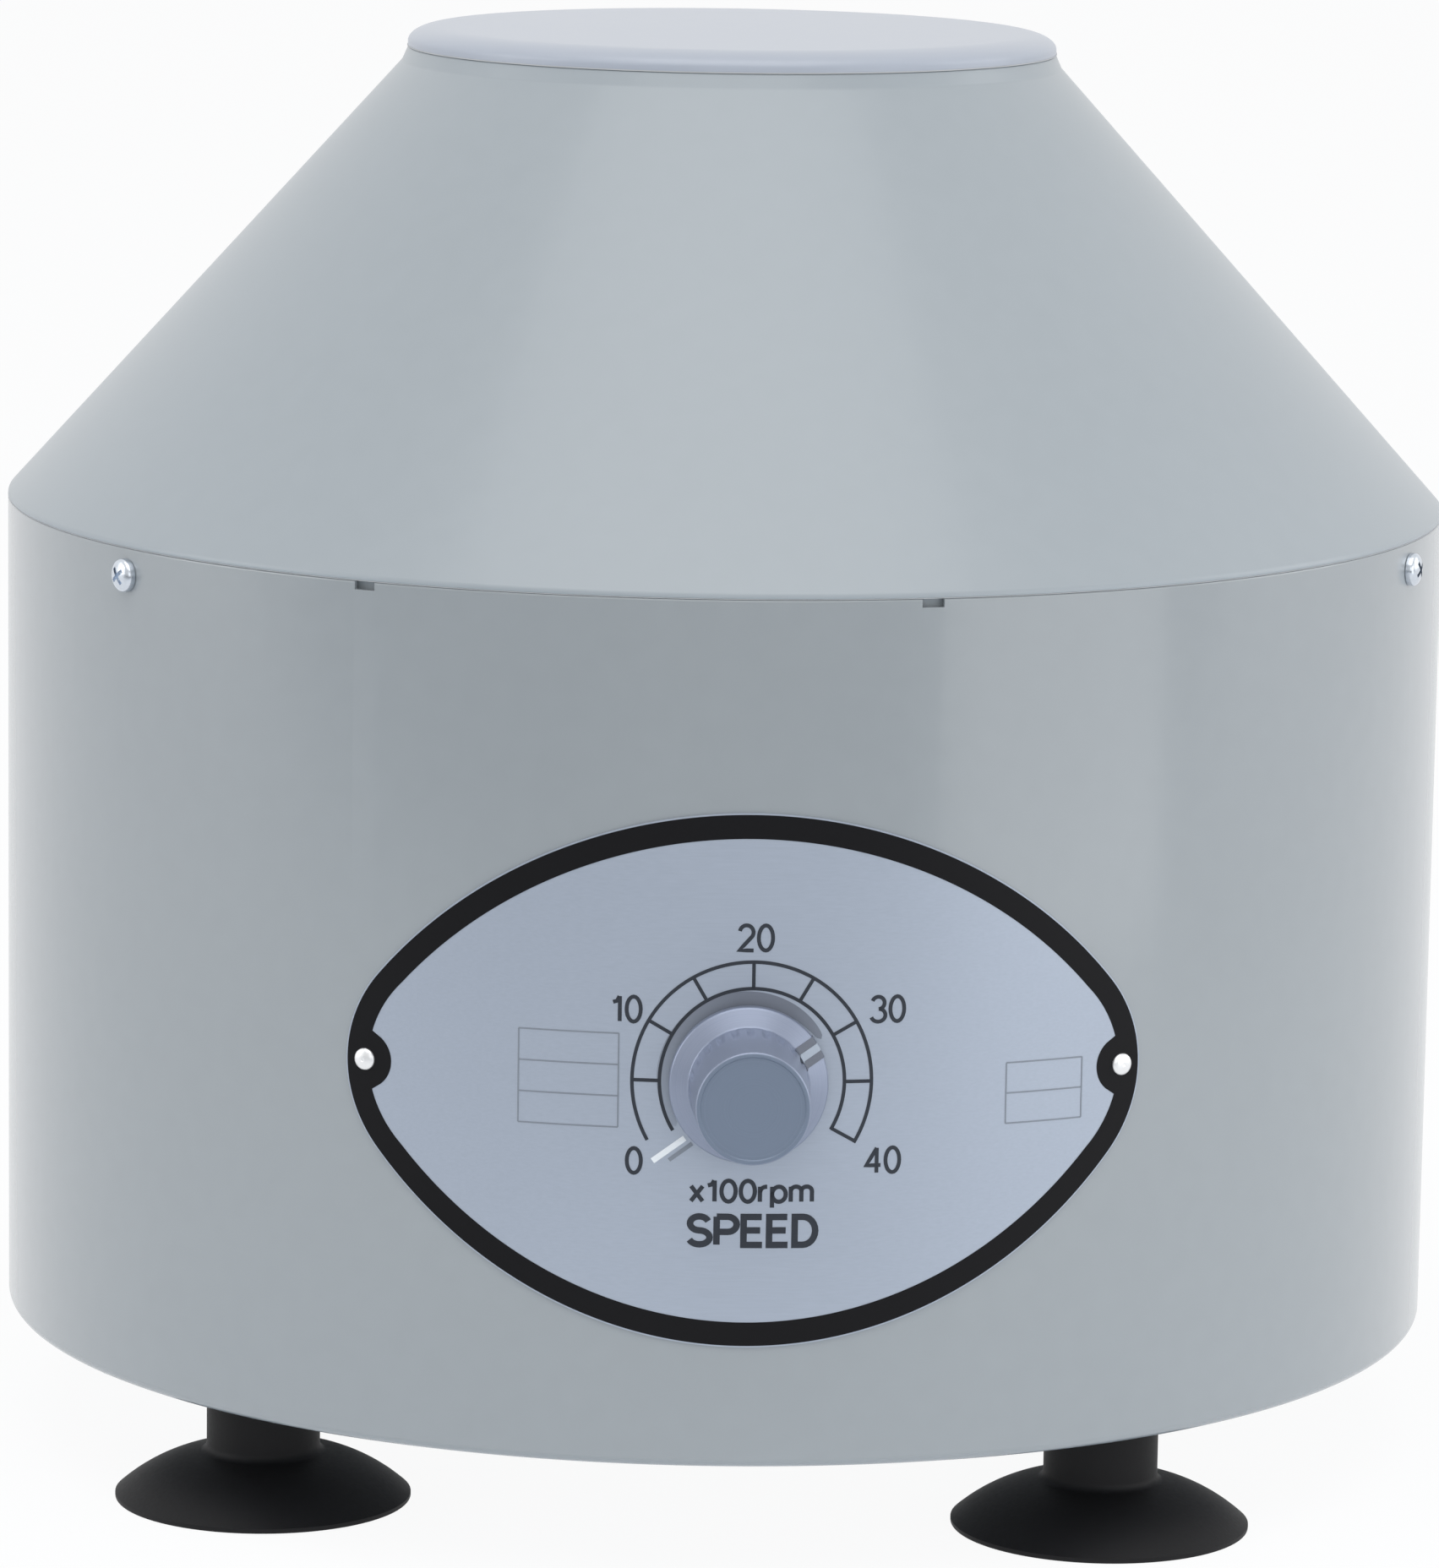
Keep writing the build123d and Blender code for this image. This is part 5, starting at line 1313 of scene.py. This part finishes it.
        # The last runs of the flank are left out, so that the fillet at the neck's root has room
        for step in range(1, flank_steps - 4):
            share = step / flank_steps
            flank.append(tuple(start.lerp(pull, share).lerp(pull.lerp(end, share), share)))
        corners: list[Point2] = [(0.0, hollow_top), (hollow, 0.0), (lip, 0.0), tuple(start)] + flank
        root = len(corners)
        corners += [tuple(end), (neck, self.base_bottom), (bore, self.base_bottom), (bore, bore_end), (0.0, bore_end)]
        blank = turned("foot_blank", rounded(corners, {2: 0.35, root: 1.5}), self.foot_sides)
        seats = Ring(4, self.foot_angle, self.foot_radius, 0.0, Facing.UP)
        feet = seats.repeat("suction_feet", blank, RUBBER, 3, tree)
        RUBBER.cover(feet)
        return fitted(feet, "housing", [f"foot_{number}" for number in range(1, 5)])


@dataclass
class Nameplate:
    """The leaf-shaped plate and what is printed on it: border, dial, numbers and two empty tables.

    Lengths are in millimetres with the plate laid flat, from the dial's middle.
    """

    half_length: float = 67.1
    half_height: float = 45.5
    tip_radius: float = 24.5
    border: float = 4.3
    margin: float = 0.25
    rivet_arc: float = math.radians(RIVET_ANGLE) * PLATE_FACE
    lobe_radius: float = 5.0
    dial_shift: float = 0.7
    ring_inner: Point2 = (15.5, 15.9)
    ring_outer: Point2 = (20.1, 20.4)
    shade_radius: float = 14.2
    shade_sides: Point2 = (1.4, 1.3)
    line: float = 0.6
    table_line: float = 0.26
    start_angle: float = 217.0
    ink: float = 0.04
    parts: list[Object] = field(default_factory=list)

    def edge(self, angle: float) -> float:
        """Find how far the plate's edge is from its middle, along the wall.

        Args:
            angle: Direction from the middle, in radians.

        Returns:
            The distance in millimetres, with the plate laid flat.
        """
        tip = self.half_length - self.tip_radius
        long_radius = (tip**2 + self.half_height**2 - self.tip_radius**2) / (2 * (self.half_height - self.tip_radius))
        drop = long_radius - self.half_height

        def inside(reach: float) -> bool:
            """Tell whether a point at this distance is on the plate."""
            across = PLATE_FACE * math.sin(abs(reach * math.cos(angle)) / PLATE_FACE)
            up = abs(reach * math.sin(angle))
            if math.hypot(across, up + drop) > long_radius:
                return False
            if across <= tip:
                return True
            corner = tip * long_radius / (long_radius - self.tip_radius)
            return math.hypot(across - tip, up) <= self.tip_radius or across < corner

        low, high, halvings = 0.0, 90.0, 40
        for _ in range(halvings):
            middle = (low + high) / 2
            low, high = (middle, high) if inside(middle) else (low, middle)
        return low

    def printed(self, name: str, mesh: BMesh, finish: Finish, wall: NodeTree, lift: float = 0.05) -> None:
        """Lay flat print on the plate, as a plain mesh that rides on the housing.

        Args:
            name: The piece's name.
            mesh: The print, flat in the dial's plane.
            finish: Its ink.
            wall: The tree that lays it on the wall.
            lift: Height of its face over the plate.
        """
        flat = raised(name, mesh, self.ink, lift)
        values = {"Wall radius": PLATE_FACE * MM, "Middle height": DIAL_HEIGHT * MM, "Material": finish.material()}
        run_tree(flat, wall, values)
        made = settled(flat)
        finish.cover(made)
        self.parts.append(fitted(made, "housing", edge=PRINT_EDGE))

    def build(self, wall: NodeTree, tree: NodeTree) -> list[Object]:
        """Dress the plate, print it and rivet it.

        Args:
            wall: The tree that lays print on the wall.
            tree: The tree that repeats a piece round the axis.

        Returns:
            The printed pieces and the rivets.
        """
        PLATE_ALUMINIUM.dress("nameplate")
        self.build_border(wall)
        # The crescent round the knob is painted shadow
        self.build_shade(wall)
        self.build_dial(wall)
        self.build_start(wall)
        self.build_tables(wall)
        rivet = Rivet(1.9, 0.9, 1.1, 3.0)
        seats = [Ring(1, side * RIVET_ANGLE, PLATE_FACE, DIAL_HEIGHT, Facing.OUT) for side in (-1, 1)]
        sets = [(rivet, seat) for seat in seats]
        return self.parts + [fasteners("nameplate_rivets", BRIGHT_ALUMINIUM, sets, tree)]

    def build_border(self, wall: NodeTree) -> None:
        """Print the black border, with a round lobe about each rivet."""
        outer: list[Point2] = []
        inner: list[Point2] = []
        steps, crowding, probe = 480, 0.21, 0.004
        for step in range(steps):
            share = 2 * math.pi * step / steps
            # Points lie closer together round the tips
            angle = share - crowding * math.sin(2 * share)
            reach = self.edge(angle) - self.margin
            near, far = self.edge(angle - probe), self.edge(angle + probe)
            slope = (far - near) / (2 * probe * reach)
            hold = reach - (self.border - self.margin) * math.hypot(1.0, slope)
            away = abs(self.rivet_arc * math.sin(angle))
            if away < self.lobe_radius:
                chord = math.sqrt(self.lobe_radius**2 - away**2)
                hold = min(hold, self.rivet_arc * abs(math.cos(angle)) - chord)
            outer.append((reach * math.cos(angle), reach * math.sin(angle)))
            inner.append((hold * math.cos(angle), hold * math.sin(angle)))
        mesh = bmesh.new()
        strip(mesh, inner, outer, True, 3)
        self.printed("plate_border", mesh, BLACK_INK, wall)

    def build_shade(self, wall: NodeTree) -> None:
        """Lay the soft crescent of painted shadow round the knob's foot, which narrows towards its two ends."""
        fullness = 0.3
        turns = [math.radians(31 + 2 * step) for step in range(92)]
        near, far = [], []
        for turn in turns:
            share = math.sin((turn - turns[0]) / (turns[-1] - turns[0]) * math.pi) ** fullness
            inside = self.shade_radius - self.shade_sides[0] * share
            outside = self.shade_radius + self.shade_sides[1] * share
            near.append((inside * math.cos(turn), inside * math.sin(turn)))
            far.append((outside * math.cos(turn), outside * math.sin(turn)))
        mesh = bmesh.new()
        strip(mesh, near, far, False, 2)
        self.printed("dial_shade", mesh, PAINTED_KNOB_SHADOW, wall, 0.03)

    def build_dial(self, wall: NodeTree) -> None:
        """Print the dial's segments, its numbers and its plain captions."""
        mesh = bmesh.new()
        for radii, first in ((self.ring_inner, 212), (self.ring_outer, 210)):
            ribbon(mesh, bend(self.dial_shift, 0, *radii, first, -30.9, 2), self.line)
        for turn in (180, 150, 120, 90, 60, 30, 0, -30):
            spoke = [bend(self.dial_shift, 0, *radii, turn, turn)[0] for radii in (self.ring_inner, self.ring_outer)]
            ribbon(mesh, spoke, self.line)
        self.printed("dial_ring", mesh, TEXT_INK, wall)
        numbers = bmesh.new()
        tall, stroke = 4.9, 0.66
        for text, x, y in (
            ("0", -18.9, -13.8),
            ("10", -20.4, 12.0),
            ("20", 1.0, 24.5),
            ("30", 23.4, 12.2),
            ("40", 23.0, -13.6),
        ):
            write(numbers, text, tall, x, y - tall / 2, stroke)
        self.printed("dial_numbers", numbers, TEXT_INK, wall)
        captions = bmesh.new()
        write(captions, "x100rpm", 4.3, 0.9, -20.8, 0.72, 21.0)
        write(captions, "SPEED", 5.9, 1.1, -28.4, 1.1, 22.3)
        self.printed("dial_captions", captions, TEXT_INK, wall)

    def build_start(self, wall: NodeTree) -> None:
        """Lay the white bar at the dial's start, and beside it a grey line of painted shadow."""
        turn = math.radians(self.start_angle)
        along = Vector((math.cos(turn), math.sin(turn)))
        for name, inside, outside, across, down, width, ink in (
            ("dial_start", 14.3, 21.0, 1.0, -1.1, 1.0, WHITE_INK),
            # The grey line is painted shadow beside the white bar
            ("dial_start_line", 14.0, 18.8, 2.0, -2.2, 0.7, GREY_INK_AND_SHADOW),
        ):
            mark = bmesh.new()
            start = Vector((across, down))
            ribbon(mark, [start + along * inside, start + along * outside], width)
            self.printed(name, mark, ink, wall, 0.07)

    def build_tables(self, wall: NodeTree) -> None:
        """Print the outlines of the two small tables, left empty."""
        mesh = bmesh.new()
        for left, right, low, high, rows in ((-38.8, -21.7, -8.2, 7.8, 3), (44.6, 58.9, -8.4, 2.0, 2)):
            levels = [low + (high - low) * row / rows for row in range(rows + 1)]
            lines = [[(left, level), (right, level)] for level in levels]
            for line in lines + [[(side, low), (side, high)] for side in (left, right)]:
                ribbon(mesh, line, self.table_line)
        self.printed("plate_tables", mesh, GREY_INK_AND_SHADOW, wall)


@dataclass
class SpeedKnob:
    """The turned knob of the dial: a skirt with an inlaid pointer, and a long grip with milled flutes at its root.

    Lengths are in millimetres from the knob's back, angles in degrees from its pointer. The flutes start and are full
    at shares of the skirt's height, and end at a share of the knob's length.
    """

    skirt_radius: float = 13.3
    skirt_edge: float = 2.0
    skirt_height: float = 3.6
    grip_radius: float = 10.1
    face_radius: float = 9.5
    face_rim: float = 0.75
    face_dish: float = 0.95
    face_slope: float = 0.2
    pocket_radius: float = 7.7
    pocket_depth: float = 6.2
    bore_radius: float = 3.05
    bore_end: float = 16.5
    flutes: int = 24
    flute_depth: float = 0.5
    flute_start: float = 0.95
    flute_full: float = 1.6
    flute_end: float = 0.55
    screw_angle: float = -60.0
    screw_height: float = 10.2
    screw_bore: float = 1.5
    screw_middle: float = 8.5
    screw_run: float = 11.0
    pointer_width: float = 1.3
    groove_width: float = 4.0
    sides: int = 384

    def upright(self, piece: Object, spin: float) -> Object:
        """Stand a piece that was made about Z on the dial, turned by an angle.

        Args:
            piece: A mesh whose Z = 0 is the knob's back and whose X is its pointer.
            spin: Degrees anticlockwise as seen from the front.

        Returns:
            The same piece, with its place in its mesh.
        """
        stand = Matrix.Rotation(math.pi / 2, 4, "X")
        place = Matrix.Translation((0, -KNOB_BACK * MM, DIAL_HEIGHT * MM))
        piece.data.transform(place @ stand @ Matrix.Rotation(math.radians(spin), 4, "Z"))
        return piece

    def build(self, flute: NodeTree) -> list[Object]:
        """Turn the knob, mill it, drill it for its grub screw and inlay the pointer.

        Args:
            flute: The tree that mills flutes.

        Returns:
            The new pieces.
        """
        return [
            self.build_body(flute),
            # The wide dark strip is painted shade of the pointer's groove; the pale strip is the pointer's paint
            self.build_inlay("knob_groove", self.groove_width, 0.03, POINTER_GROOVE_SHADE),
            self.build_inlay("knob_pointer", self.pointer_width, 0.07, POINTER_INK),
        ]

    def build_body(self, flute: NodeTree) -> Object:
        """Make the knob itself; arguments as in build.

        Returns:
            The knob, in its node's place.
        """
        length = KNOB_REACH - KNOB_BACK
        dish = length - self.face_slope
        corners = [
            (0.0, self.bore_end),
            (self.bore_radius, self.bore_end),
            (self.bore_radius, self.pocket_depth),
            (self.pocket_radius, self.pocket_depth),
            (self.pocket_radius, 0.0),
            (self.skirt_radius, 0.0),
            (self.skirt_radius, self.skirt_edge),
            (self.grip_radius, self.skirt_height),
            (self.face_radius, length),
            (self.face_radius - self.face_rim, length),
            (self.face_radius - self.face_dish, dish),
            (0.0, dish),
        ]
        outline = rounded(corners, {5: 0.5, 6: 0.6, 7: 0.5, 8: 0.45})
        flank: list[Point2] = []
        # The grip's long run is cut up, so that the flutes have points to move
        grip_runs, long_run = 36, 10
        for one, two in zip(outline, outline[1:]):
            runs = grip_runs if two[1] - one[1] > long_run and one[0] > self.pocket_radius else 1
            for step in range(runs):
                flank.append((one[0] + (two[0] - one[0]) * step / runs, one[1] + (two[1] - one[1]) * step / runs))
        flank.append(outline[-1])
        body = turned("knob_turned", flank, self.sides)
        values = {
            "Flutes": float(self.flutes),
            "Depth": self.flute_depth * MM,
            "Low": self.skirt_height * self.flute_start * MM,
            "Full": self.skirt_height * self.flute_full * MM,
            "High": length * self.flute_end * MM,
            "Least radius": (self.face_radius - 0.2) * MM,
        }
        run_tree(body, flute, values)
        drill = bmesh.new()
        turn = Matrix.Rotation(math.radians(self.screw_angle), 4, "Z")
        middle = Matrix.Translation((self.screw_middle * MM, 0, self.screw_height * MM))
        lie = turn @ middle @ Matrix.Rotation(math.pi / 2, 4, "Y")
        size = {"radius1": self.screw_bore * MM, "radius2": self.screw_bore * MM, "depth": self.screw_run * MM}
        bmesh.ops.create_cone(drill, cap_ends=True, segments=24, matrix=lie, **size)
        body = carve(settled(body), drill)
        KNOB_FLANK.cover(body)
        # The face gets the darker copy of the knob's metal, as painted shade
        body.data.materials.append(KNOB_FACE.material())
        for face in body.data.polygons:
            if face.center.z > (length - 0.25) * MM and face.center.xy.length < (self.face_radius - 0.2) * MM:
                face.material_index = 1
        return fitted(self.upright(body, 0.0), "speed_knob", ("knob",), PRINT_EDGE)

    def build_inlay(self, name: str, width: float, lift: float, finish: Finish) -> Object:
        """Lay a strip over the skirt, from its edge to the grip's root.

        Args:
            name: The piece's name.
            width: Its width.
            lift: How far its face stands out of the skirt.
            finish: What it is made of.

        Returns:
            The strip, which turns with the knob.
        """
        corners = [
            (self.skirt_radius, 0.6),
            (self.skirt_radius, self.skirt_edge),
            (self.grip_radius, self.skirt_height),
            (self.grip_radius - 0.06, self.skirt_height + 1.6),
        ]
        ridge = rounded(corners, {1: 0.6, 2: 0.5}, 4)
        thickness = 0.3
        mesh = bmesh.new()
        rows = []
        for number, spot in enumerate(ridge):
            ahead, behind = Vector(ridge[min(number + 1, len(ridge) - 1)]), Vector(ridge[max(number - 1, 0)])
            along = (ahead - behind).normalized()
            out = Vector((along.y, -along.x))
            face, root = Vector(spot) + out * lift, Vector(spot) - out * thickness
            ends = ((root, -1), (face, -1), (face, 1), (root, 1))
            rows.append([mesh.verts.new(Vector((at.x, side * width / 2, at.y)) * MM) for at, side in ends])
        for one, two in zip(rows, rows[1:]):
            for side in range(4):
                after = (side + 1) % 4
                mesh.faces.new((one[side], one[after], two[after], two[side]))
        mesh.faces.new(rows[0])
        mesh.faces.new(rows[-1])
        bmesh.ops.recalc_face_normals(mesh, faces=mesh.faces)
        piece = mesh_object(name, mesh)
        finish.cover(piece)
        return fitted(self.upright(piece, POINTER_ANGLE), "speed_knob", edge=PRINT_EDGE)


@dataclass
class Rotor:
    """The fixed-angle head, its six blue sleeves, and the numbers beside them; in millimetres and degrees."""

    hub_face: float = 203.36
    hub_face_radius: float = 15.0
    lean: float = 35.0
    number_radius: float = 18.6
    number_height: float = 6.0
    stroke: float = 0.8
    depth: float = 0.3
    sleeves: int = 6

    def build(self) -> list[Object]:
        """Dress the head and its sleeves, and number the pockets.

        Returns:
            The numbers, which spin with the rotor.
        """
        CAST_ALUMINIUM.dress("rotor_head")
        ZINC.dress("rotor_nut")
        BLUE_PLASTIC.dress(*(f"tube_sleeve_{number}" for number in range(1, self.sleeves + 1)))
        slope = math.radians(self.lean)
        level = self.hub_face + (self.number_radius - self.hub_face_radius) * math.tan(slope)
        parts = []
        for number in range(self.sleeves):
            mesh = bmesh.new()
            write(mesh, str(number + 1), self.number_height, 0.0, -self.number_height, self.stroke)
            flat = settled(raised(f"pocket_number_{number + 1}", mesh, self.depth, 0.02))
            # The figure's head points at the hub, so it reads from the rim
            place = (
                Matrix.Rotation(math.radians(360 / self.sleeves * number), 4, "Z")
                @ Matrix.Translation((0, -self.number_radius * MM, level * MM))
                @ Matrix.Rotation(-slope, 4, "X")
            )
            flat.data.transform(place)
            parts.append(flat)
        made = joined("pocket_numbers", parts)
        BLACK_INK.cover(made)
        return [fitted(made, "rotor", edge=PRINT_EDGE)]


@dataclass
class PowerSwitch:
    """The rocker switch at the back, and the two marks on its rocker; in millimetres and degrees."""

    angle: float = 155.0
    height: float = 62.0
    pivot_radius: float = 126.5
    tilt: float = -8.0
    valley: float = 4.3
    crest: float = 6.5
    crest_reach: float = 5.63
    mark_height: float = 3.0
    stroke: float = 0.5
    depth: float = 0.1

    def build(self) -> list[Object]:
        """Dress the switch and mark the rocker's two faces.

        Returns:
            The marks, which tip with the rocker.
        """
        BLACK_PLASTIC.dress("switch_bezel", "switch_rocker")
        turn = math.radians(self.angle)
        out = Vector((math.sin(turn), -math.cos(turn), 0))
        across = Vector((math.cos(turn), math.sin(turn), 0))
        tip = Matrix.Rotation(math.radians(self.tilt), 3, out.cross(Vector((0, 0, 1))))
        up, face = tip @ Vector((0, 0, 1)), tip @ out
        pivot = out * self.pivot_radius + Vector((0, 0, self.height))
        parts = []
        for side, letter in ((1, "I"), (-1, "O")):
            mesh = bmesh.new()
            write(mesh, letter, self.mark_height, 0.0, -self.mark_height / 2, self.stroke)
            flat = settled(raised(f"rocker_mark_{letter}", mesh, self.depth, 0.03))
            run = Vector((self.crest_reach * side, self.crest - self.valley)).normalized()
            rise = (up * run.x + face * run.y) * side
            normal = across.cross(rise)
            middle = pivot + up * (self.crest_reach * side / 2) + face * ((self.crest + self.valley) / 2)
            place = Matrix((across, rise, normal)).transposed().to_4x4()
            place.translation = middle * MM
            flat.data.transform(place)
            parts.append(flat)
        made = joined("rocker_marks", parts)
        WHITE_INK.cover(made)
        return [fitted(made, "power_rocker", edge=PRINT_EDGE)]


@dataclass
class Works:
    """What the shell hides: the motor, the potentiometer, the speed-control board and the fuse."""

    def build(self) -> None:
        """Dress the nodes that nothing replaces."""
        ZINC.dress("pot_nut", "knob_screw", "brush_springs")
        BRIGHT_ALUMINIUM.dress("pot_shaft")
        CAST_ALUMINIUM.dress("motor_top_cover", "motor_base_cover", "heat_sink")
        MOTOR_ENAMEL.dress("motor_housing")
        LAMINATIONS.dress("field_core", "armature_core")
        WINDINGS.dress("field_coils", "armature_coils")
        COMMUTATOR.dress("commutator")
        CARBON.dress("carbon_brushes")
        BRASS.dress("brush_holders")
        SHAFT_STEEL.dress("motor_shaft")
        BEARING_STEEL.dress("bearing_outer_rings", "bearing_inner_rings", "bearing_cages")
        BOARD.dress("control_board")
        YELLOW_BOX.dress("board_capacitor")
        GREEN_PLASTIC.dress("terminal_block")
        WHITE_PLASTIC.dress("board_standoffs")
        BLACK_PLASTIC.dress("pot_body", "triac", "fuse_holder", "fuse_cap", "cooling_fan")


@dataclass
class Studio:
    """The pale floor, the white surround, the soft lamps and the camera of the picture.

    Attributes:
        distance: From the camera to the point that it aims at, in metres.
        elevation: How far the camera looks down, in degrees.
        roll: How far it leans, in degrees.
        azimuth: How far it stands round the machine, in degrees.
        aim_across: Where it aims, to the right of the machine's axis, in metres.
        aim_height: Where it aims, over the floor.
        focal_px: Focal length in the picture's pixels.
        picture_px: The picture's longer side.
        sensor_mm: Width of the camera's sensor.
        sky: Strength of the surround as a light.
        room_gloss: How bright mirrors see the front of the room, against one for its back.
        floor_gloss: How bright they see the floor in front.
        floor_white: Share of the floor that is plain white to the eye; the rest keeps the shadow.
        paper: Colour of the paper that the machine stands on.
        room_floor: Colour of the floor beyond the paper's end.
        paper_end: Where the paper ends in front, and where its colour has gone, in metres.
        floor_depth: Y at which mirrors see the floor dim, and from which they see it white.
        room_depth: The same for the surround, by the Y of the ray's direction.
    """

    distance: float = 1.372
    elevation: float = 9.78
    roll: float = 0.87
    azimuth: float = -2.3
    aim_across: float = -0.00027
    aim_height: float = 0.1171
    focal_px: float = 8859.0
    picture_px: int = 1856
    sensor_mm: float = 36.0
    sky: float = 0.56
    room_gloss: float = 0.45
    floor_gloss: float = 0.05
    floor_white: float = 0.93
    paper: Colour = (0.87, 0.93, 1.0, 1.0)
    room_floor: Colour = (0.22, 0.23, 0.24, 1.0)
    paper_end: Point2 = (0.4, 0.9)
    floor_depth: Point2 = (-0.8, -0.22)
    room_depth: Point2 = (-0.95, 0.3)

    def build(self) -> None:
        """Set the floor, the world, the lamps and the camera."""
        self.build_floor()
        self.build_world()
        self.build_lamps()
        self.build_camera()

    def seen(self, tree: NodeTree, place: Source, near: float, far: float, least: float) -> Node:
        """Tell a camera, mirror or glass ray from one that lights the object.

        Args:
            tree: The tree that asks.
            place: Where the ray goes; its Y tells the front of the room, where the camera stands, from its back.
            near: Y at which the room is dim.
            far: Y from which it is white.
            least: How bright mirrors see it where it is dim.

        Returns:
            One for camera rays, from least to one for mirror and glass rays, nought for the others.
        """
        path = add_node(tree, "ShaderNodeLightPath").outputs
        looks = {0: path["Is Glossy Ray"], 1: path["Is Transmission Ray"]}
        mirror = add_node(tree, "ShaderNodeMath", looks, operation="MAXIMUM")
        depth = add_node(tree, "ShaderNodeSeparateXYZ", {"Vector": place}).outputs["Y"]
        ends = {"Value": depth, "From Min": near, "From Max": far, "To Min": least, "To Max": 1.0}
        room = add_node(tree, "ShaderNodeMapRange", ends, interpolation_type="SMOOTHSTEP")
        dimmed = add_node(tree, "ShaderNodeMath", {0: mirror, 1: room}, operation="MULTIPLY")
        return add_node(tree, "ShaderNodeMath", {0: path["Is Camera Ray"], 1: dimmed}, operation="MAXIMUM")

    def build_floor(self) -> None:
        """Lay the floor: white to the eye with the object's shadow on it, and grey beyond the paper's end in front.

        The paper's end is half an ellipse in front of the machine, and runs straight back on both sides of it.
        """
        mesh = bmesh.new()
        bmesh.ops.create_grid(mesh, x_segments=1, y_segments=1, size=12.0)
        floor = mesh_object("floor", mesh)
        paper = bpy.data.materials.new("white_paper_floor")
        tree = empty_tree(paper)
        place = add_node(tree, "ShaderNodeTexCoord").outputs["Object"]
        # Behind the machine Y counts as nought; X stays as it is, since no part of the floor is 100 m away
        front = add_node(tree, "ShaderNodeVectorMath", {0: place, 1: (100.0, 0.0, 0.0)}, operation="MINIMUM")
        shape = add_node(tree, "ShaderNodeVectorMath", {0: front, 1: (0.6, 1.0, 0.0)}, operation="MULTIPLY")
        reach = add_node(tree, "ShaderNodeVectorMath", {0: shape}, operation="LENGTH")
        end, gone = self.paper_end
        fade = {"Value": reach, "From Min": end, "From Max": gone, "To Min": 1.0, "To Max": 0.0}
        share = add_node(tree, "ShaderNodeMapRange", fade, interpolation_type="SMOOTHSTEP")
        tones = {"Factor": share, 6: self.room_floor, 7: self.paper}
        tone = add_node(tree, "ShaderNodeMix", tones, data_type="RGBA")
        matt = add_node(tree, "ShaderNodeBsdfDiffuse", {"Color": tone})
        white = add_node(tree, "ShaderNodeEmission", {"Color": (1.0, 1.0, 1.0, 1.0), "Strength": 1.0})
        eye = self.seen(tree, place, *self.floor_depth, self.floor_gloss)
        whiteness = add_node(tree, "ShaderNodeMath", {0: eye, 1: self.floor_white}, operation="MULTIPLY")
        both = add_node(tree, "ShaderNodeMixShader", {0: whiteness, 1: matt, 2: white})
        add_node(tree, "ShaderNodeOutputMaterial", {"Surface": both})
        floor.data.materials.append(paper)

    def build_world(self) -> None:
        """Make the surround white to look at and softer as a light."""
        world = bpy.data.worlds.new("white_surround")
        tree = empty_tree(world)
        way = add_node(tree, "ShaderNodeTexCoord").outputs["Generated"]
        eye = self.seen(tree, way, *self.room_depth, self.room_gloss)
        level = add_node(tree, "ShaderNodeMapRange", {"Value": eye, "To Min": self.sky, "To Max": 1.0})
        sky = add_node(tree, "ShaderNodeBackground", {"Color": (1.0, 1.0, 1.0, 1.0), "Strength": level})
        add_node(tree, "ShaderNodeOutputWorld", {"Surface": sky})
        bpy.context.scene.world = world

    def build_lamps(self) -> None:
        """Hang a broad lamp over the front, a low one before it, one on each side and a soft box near the right."""
        aim = Vector((0, 0, 0.12))
        for name, place, wide, tall, power in (
            ("over_lamp", (-0.1, -0.8, 1.9), 1.9, 1.9, 19.3),
            ("left_lamp", (-1.6, -0.2, 0.6), 1.0, 1.0, 5.0),
            ("right_box", (0.45, -0.43, 0.19), 0.40, 0.36, 0.5),
            ("side_lamp", (1.6, 0.1, 0.6), 1.0, 1.0, 4.1),
            ("front_lamp", (0.0, -2.2, 0.55), 1.4, 0.8, 3.0),
        ):
            lamp = bpy.data.lights.new(name, "AREA")
            lamp.shape, lamp.size, lamp.size_y, lamp.energy = "RECTANGLE", wide, tall, power
            held = bpy.data.objects.new(name, lamp)
            held.location = place
            held.rotation_euler = (aim - Vector(place)).to_track_quat("-Z", "Y").to_euler()
            held.visible_camera = False
            bpy.context.scene.collection.objects.link(held)

    def build_camera(self) -> None:
        """Stand the camera where the picture was taken from."""
        lift, lean = math.radians(self.elevation), math.radians(self.roll)
        forward = Vector((0, math.cos(lift), -math.sin(lift)))
        right = Vector((1, 0, 0))
        up = right.cross(forward)
        across = right * math.cos(lean) + up * math.sin(lean)
        upward = up * math.cos(lean) - right * math.sin(lean)
        pose = Matrix((across, upward, -forward)).transposed().to_4x4()
        back, over = -self.distance * math.cos(lift), self.aim_height + self.distance * math.sin(lift)
        pose.translation = (self.aim_across, back, over)
        data = bpy.data.cameras.new("picture_camera")
        data.sensor_width = self.sensor_mm
        data.lens = self.focal_px / self.picture_px * self.sensor_mm
        data.clip_start, data.clip_end = 0.05, 60.0
        camera = bpy.data.objects.new("picture_camera", data)
        camera.matrix_world = Matrix.Rotation(math.radians(self.azimuth), 4, "Z") @ pose
        bpy.context.scene.collection.objects.link(camera)
        bpy.context.scene.camera = camera


def main() -> None:
    """Build the studio, then each sub-assembly in order."""
    logging.basicConfig(level=logging.INFO, format="%(name)s %(message)s")
    bpy.context.scene.view_settings.view_transform = "Standard"
    Studio().build()
    ring, wall, flute = ring_tree(), wall_tree(), flute_tree()
    Works().build()
    made = Shell().build(ring) + Nameplate().build(wall, ring) + SpeedKnob().build(flute)
    made += Rotor().build() + PowerSwitch().build()


if __name__ == "__main__":
    main()
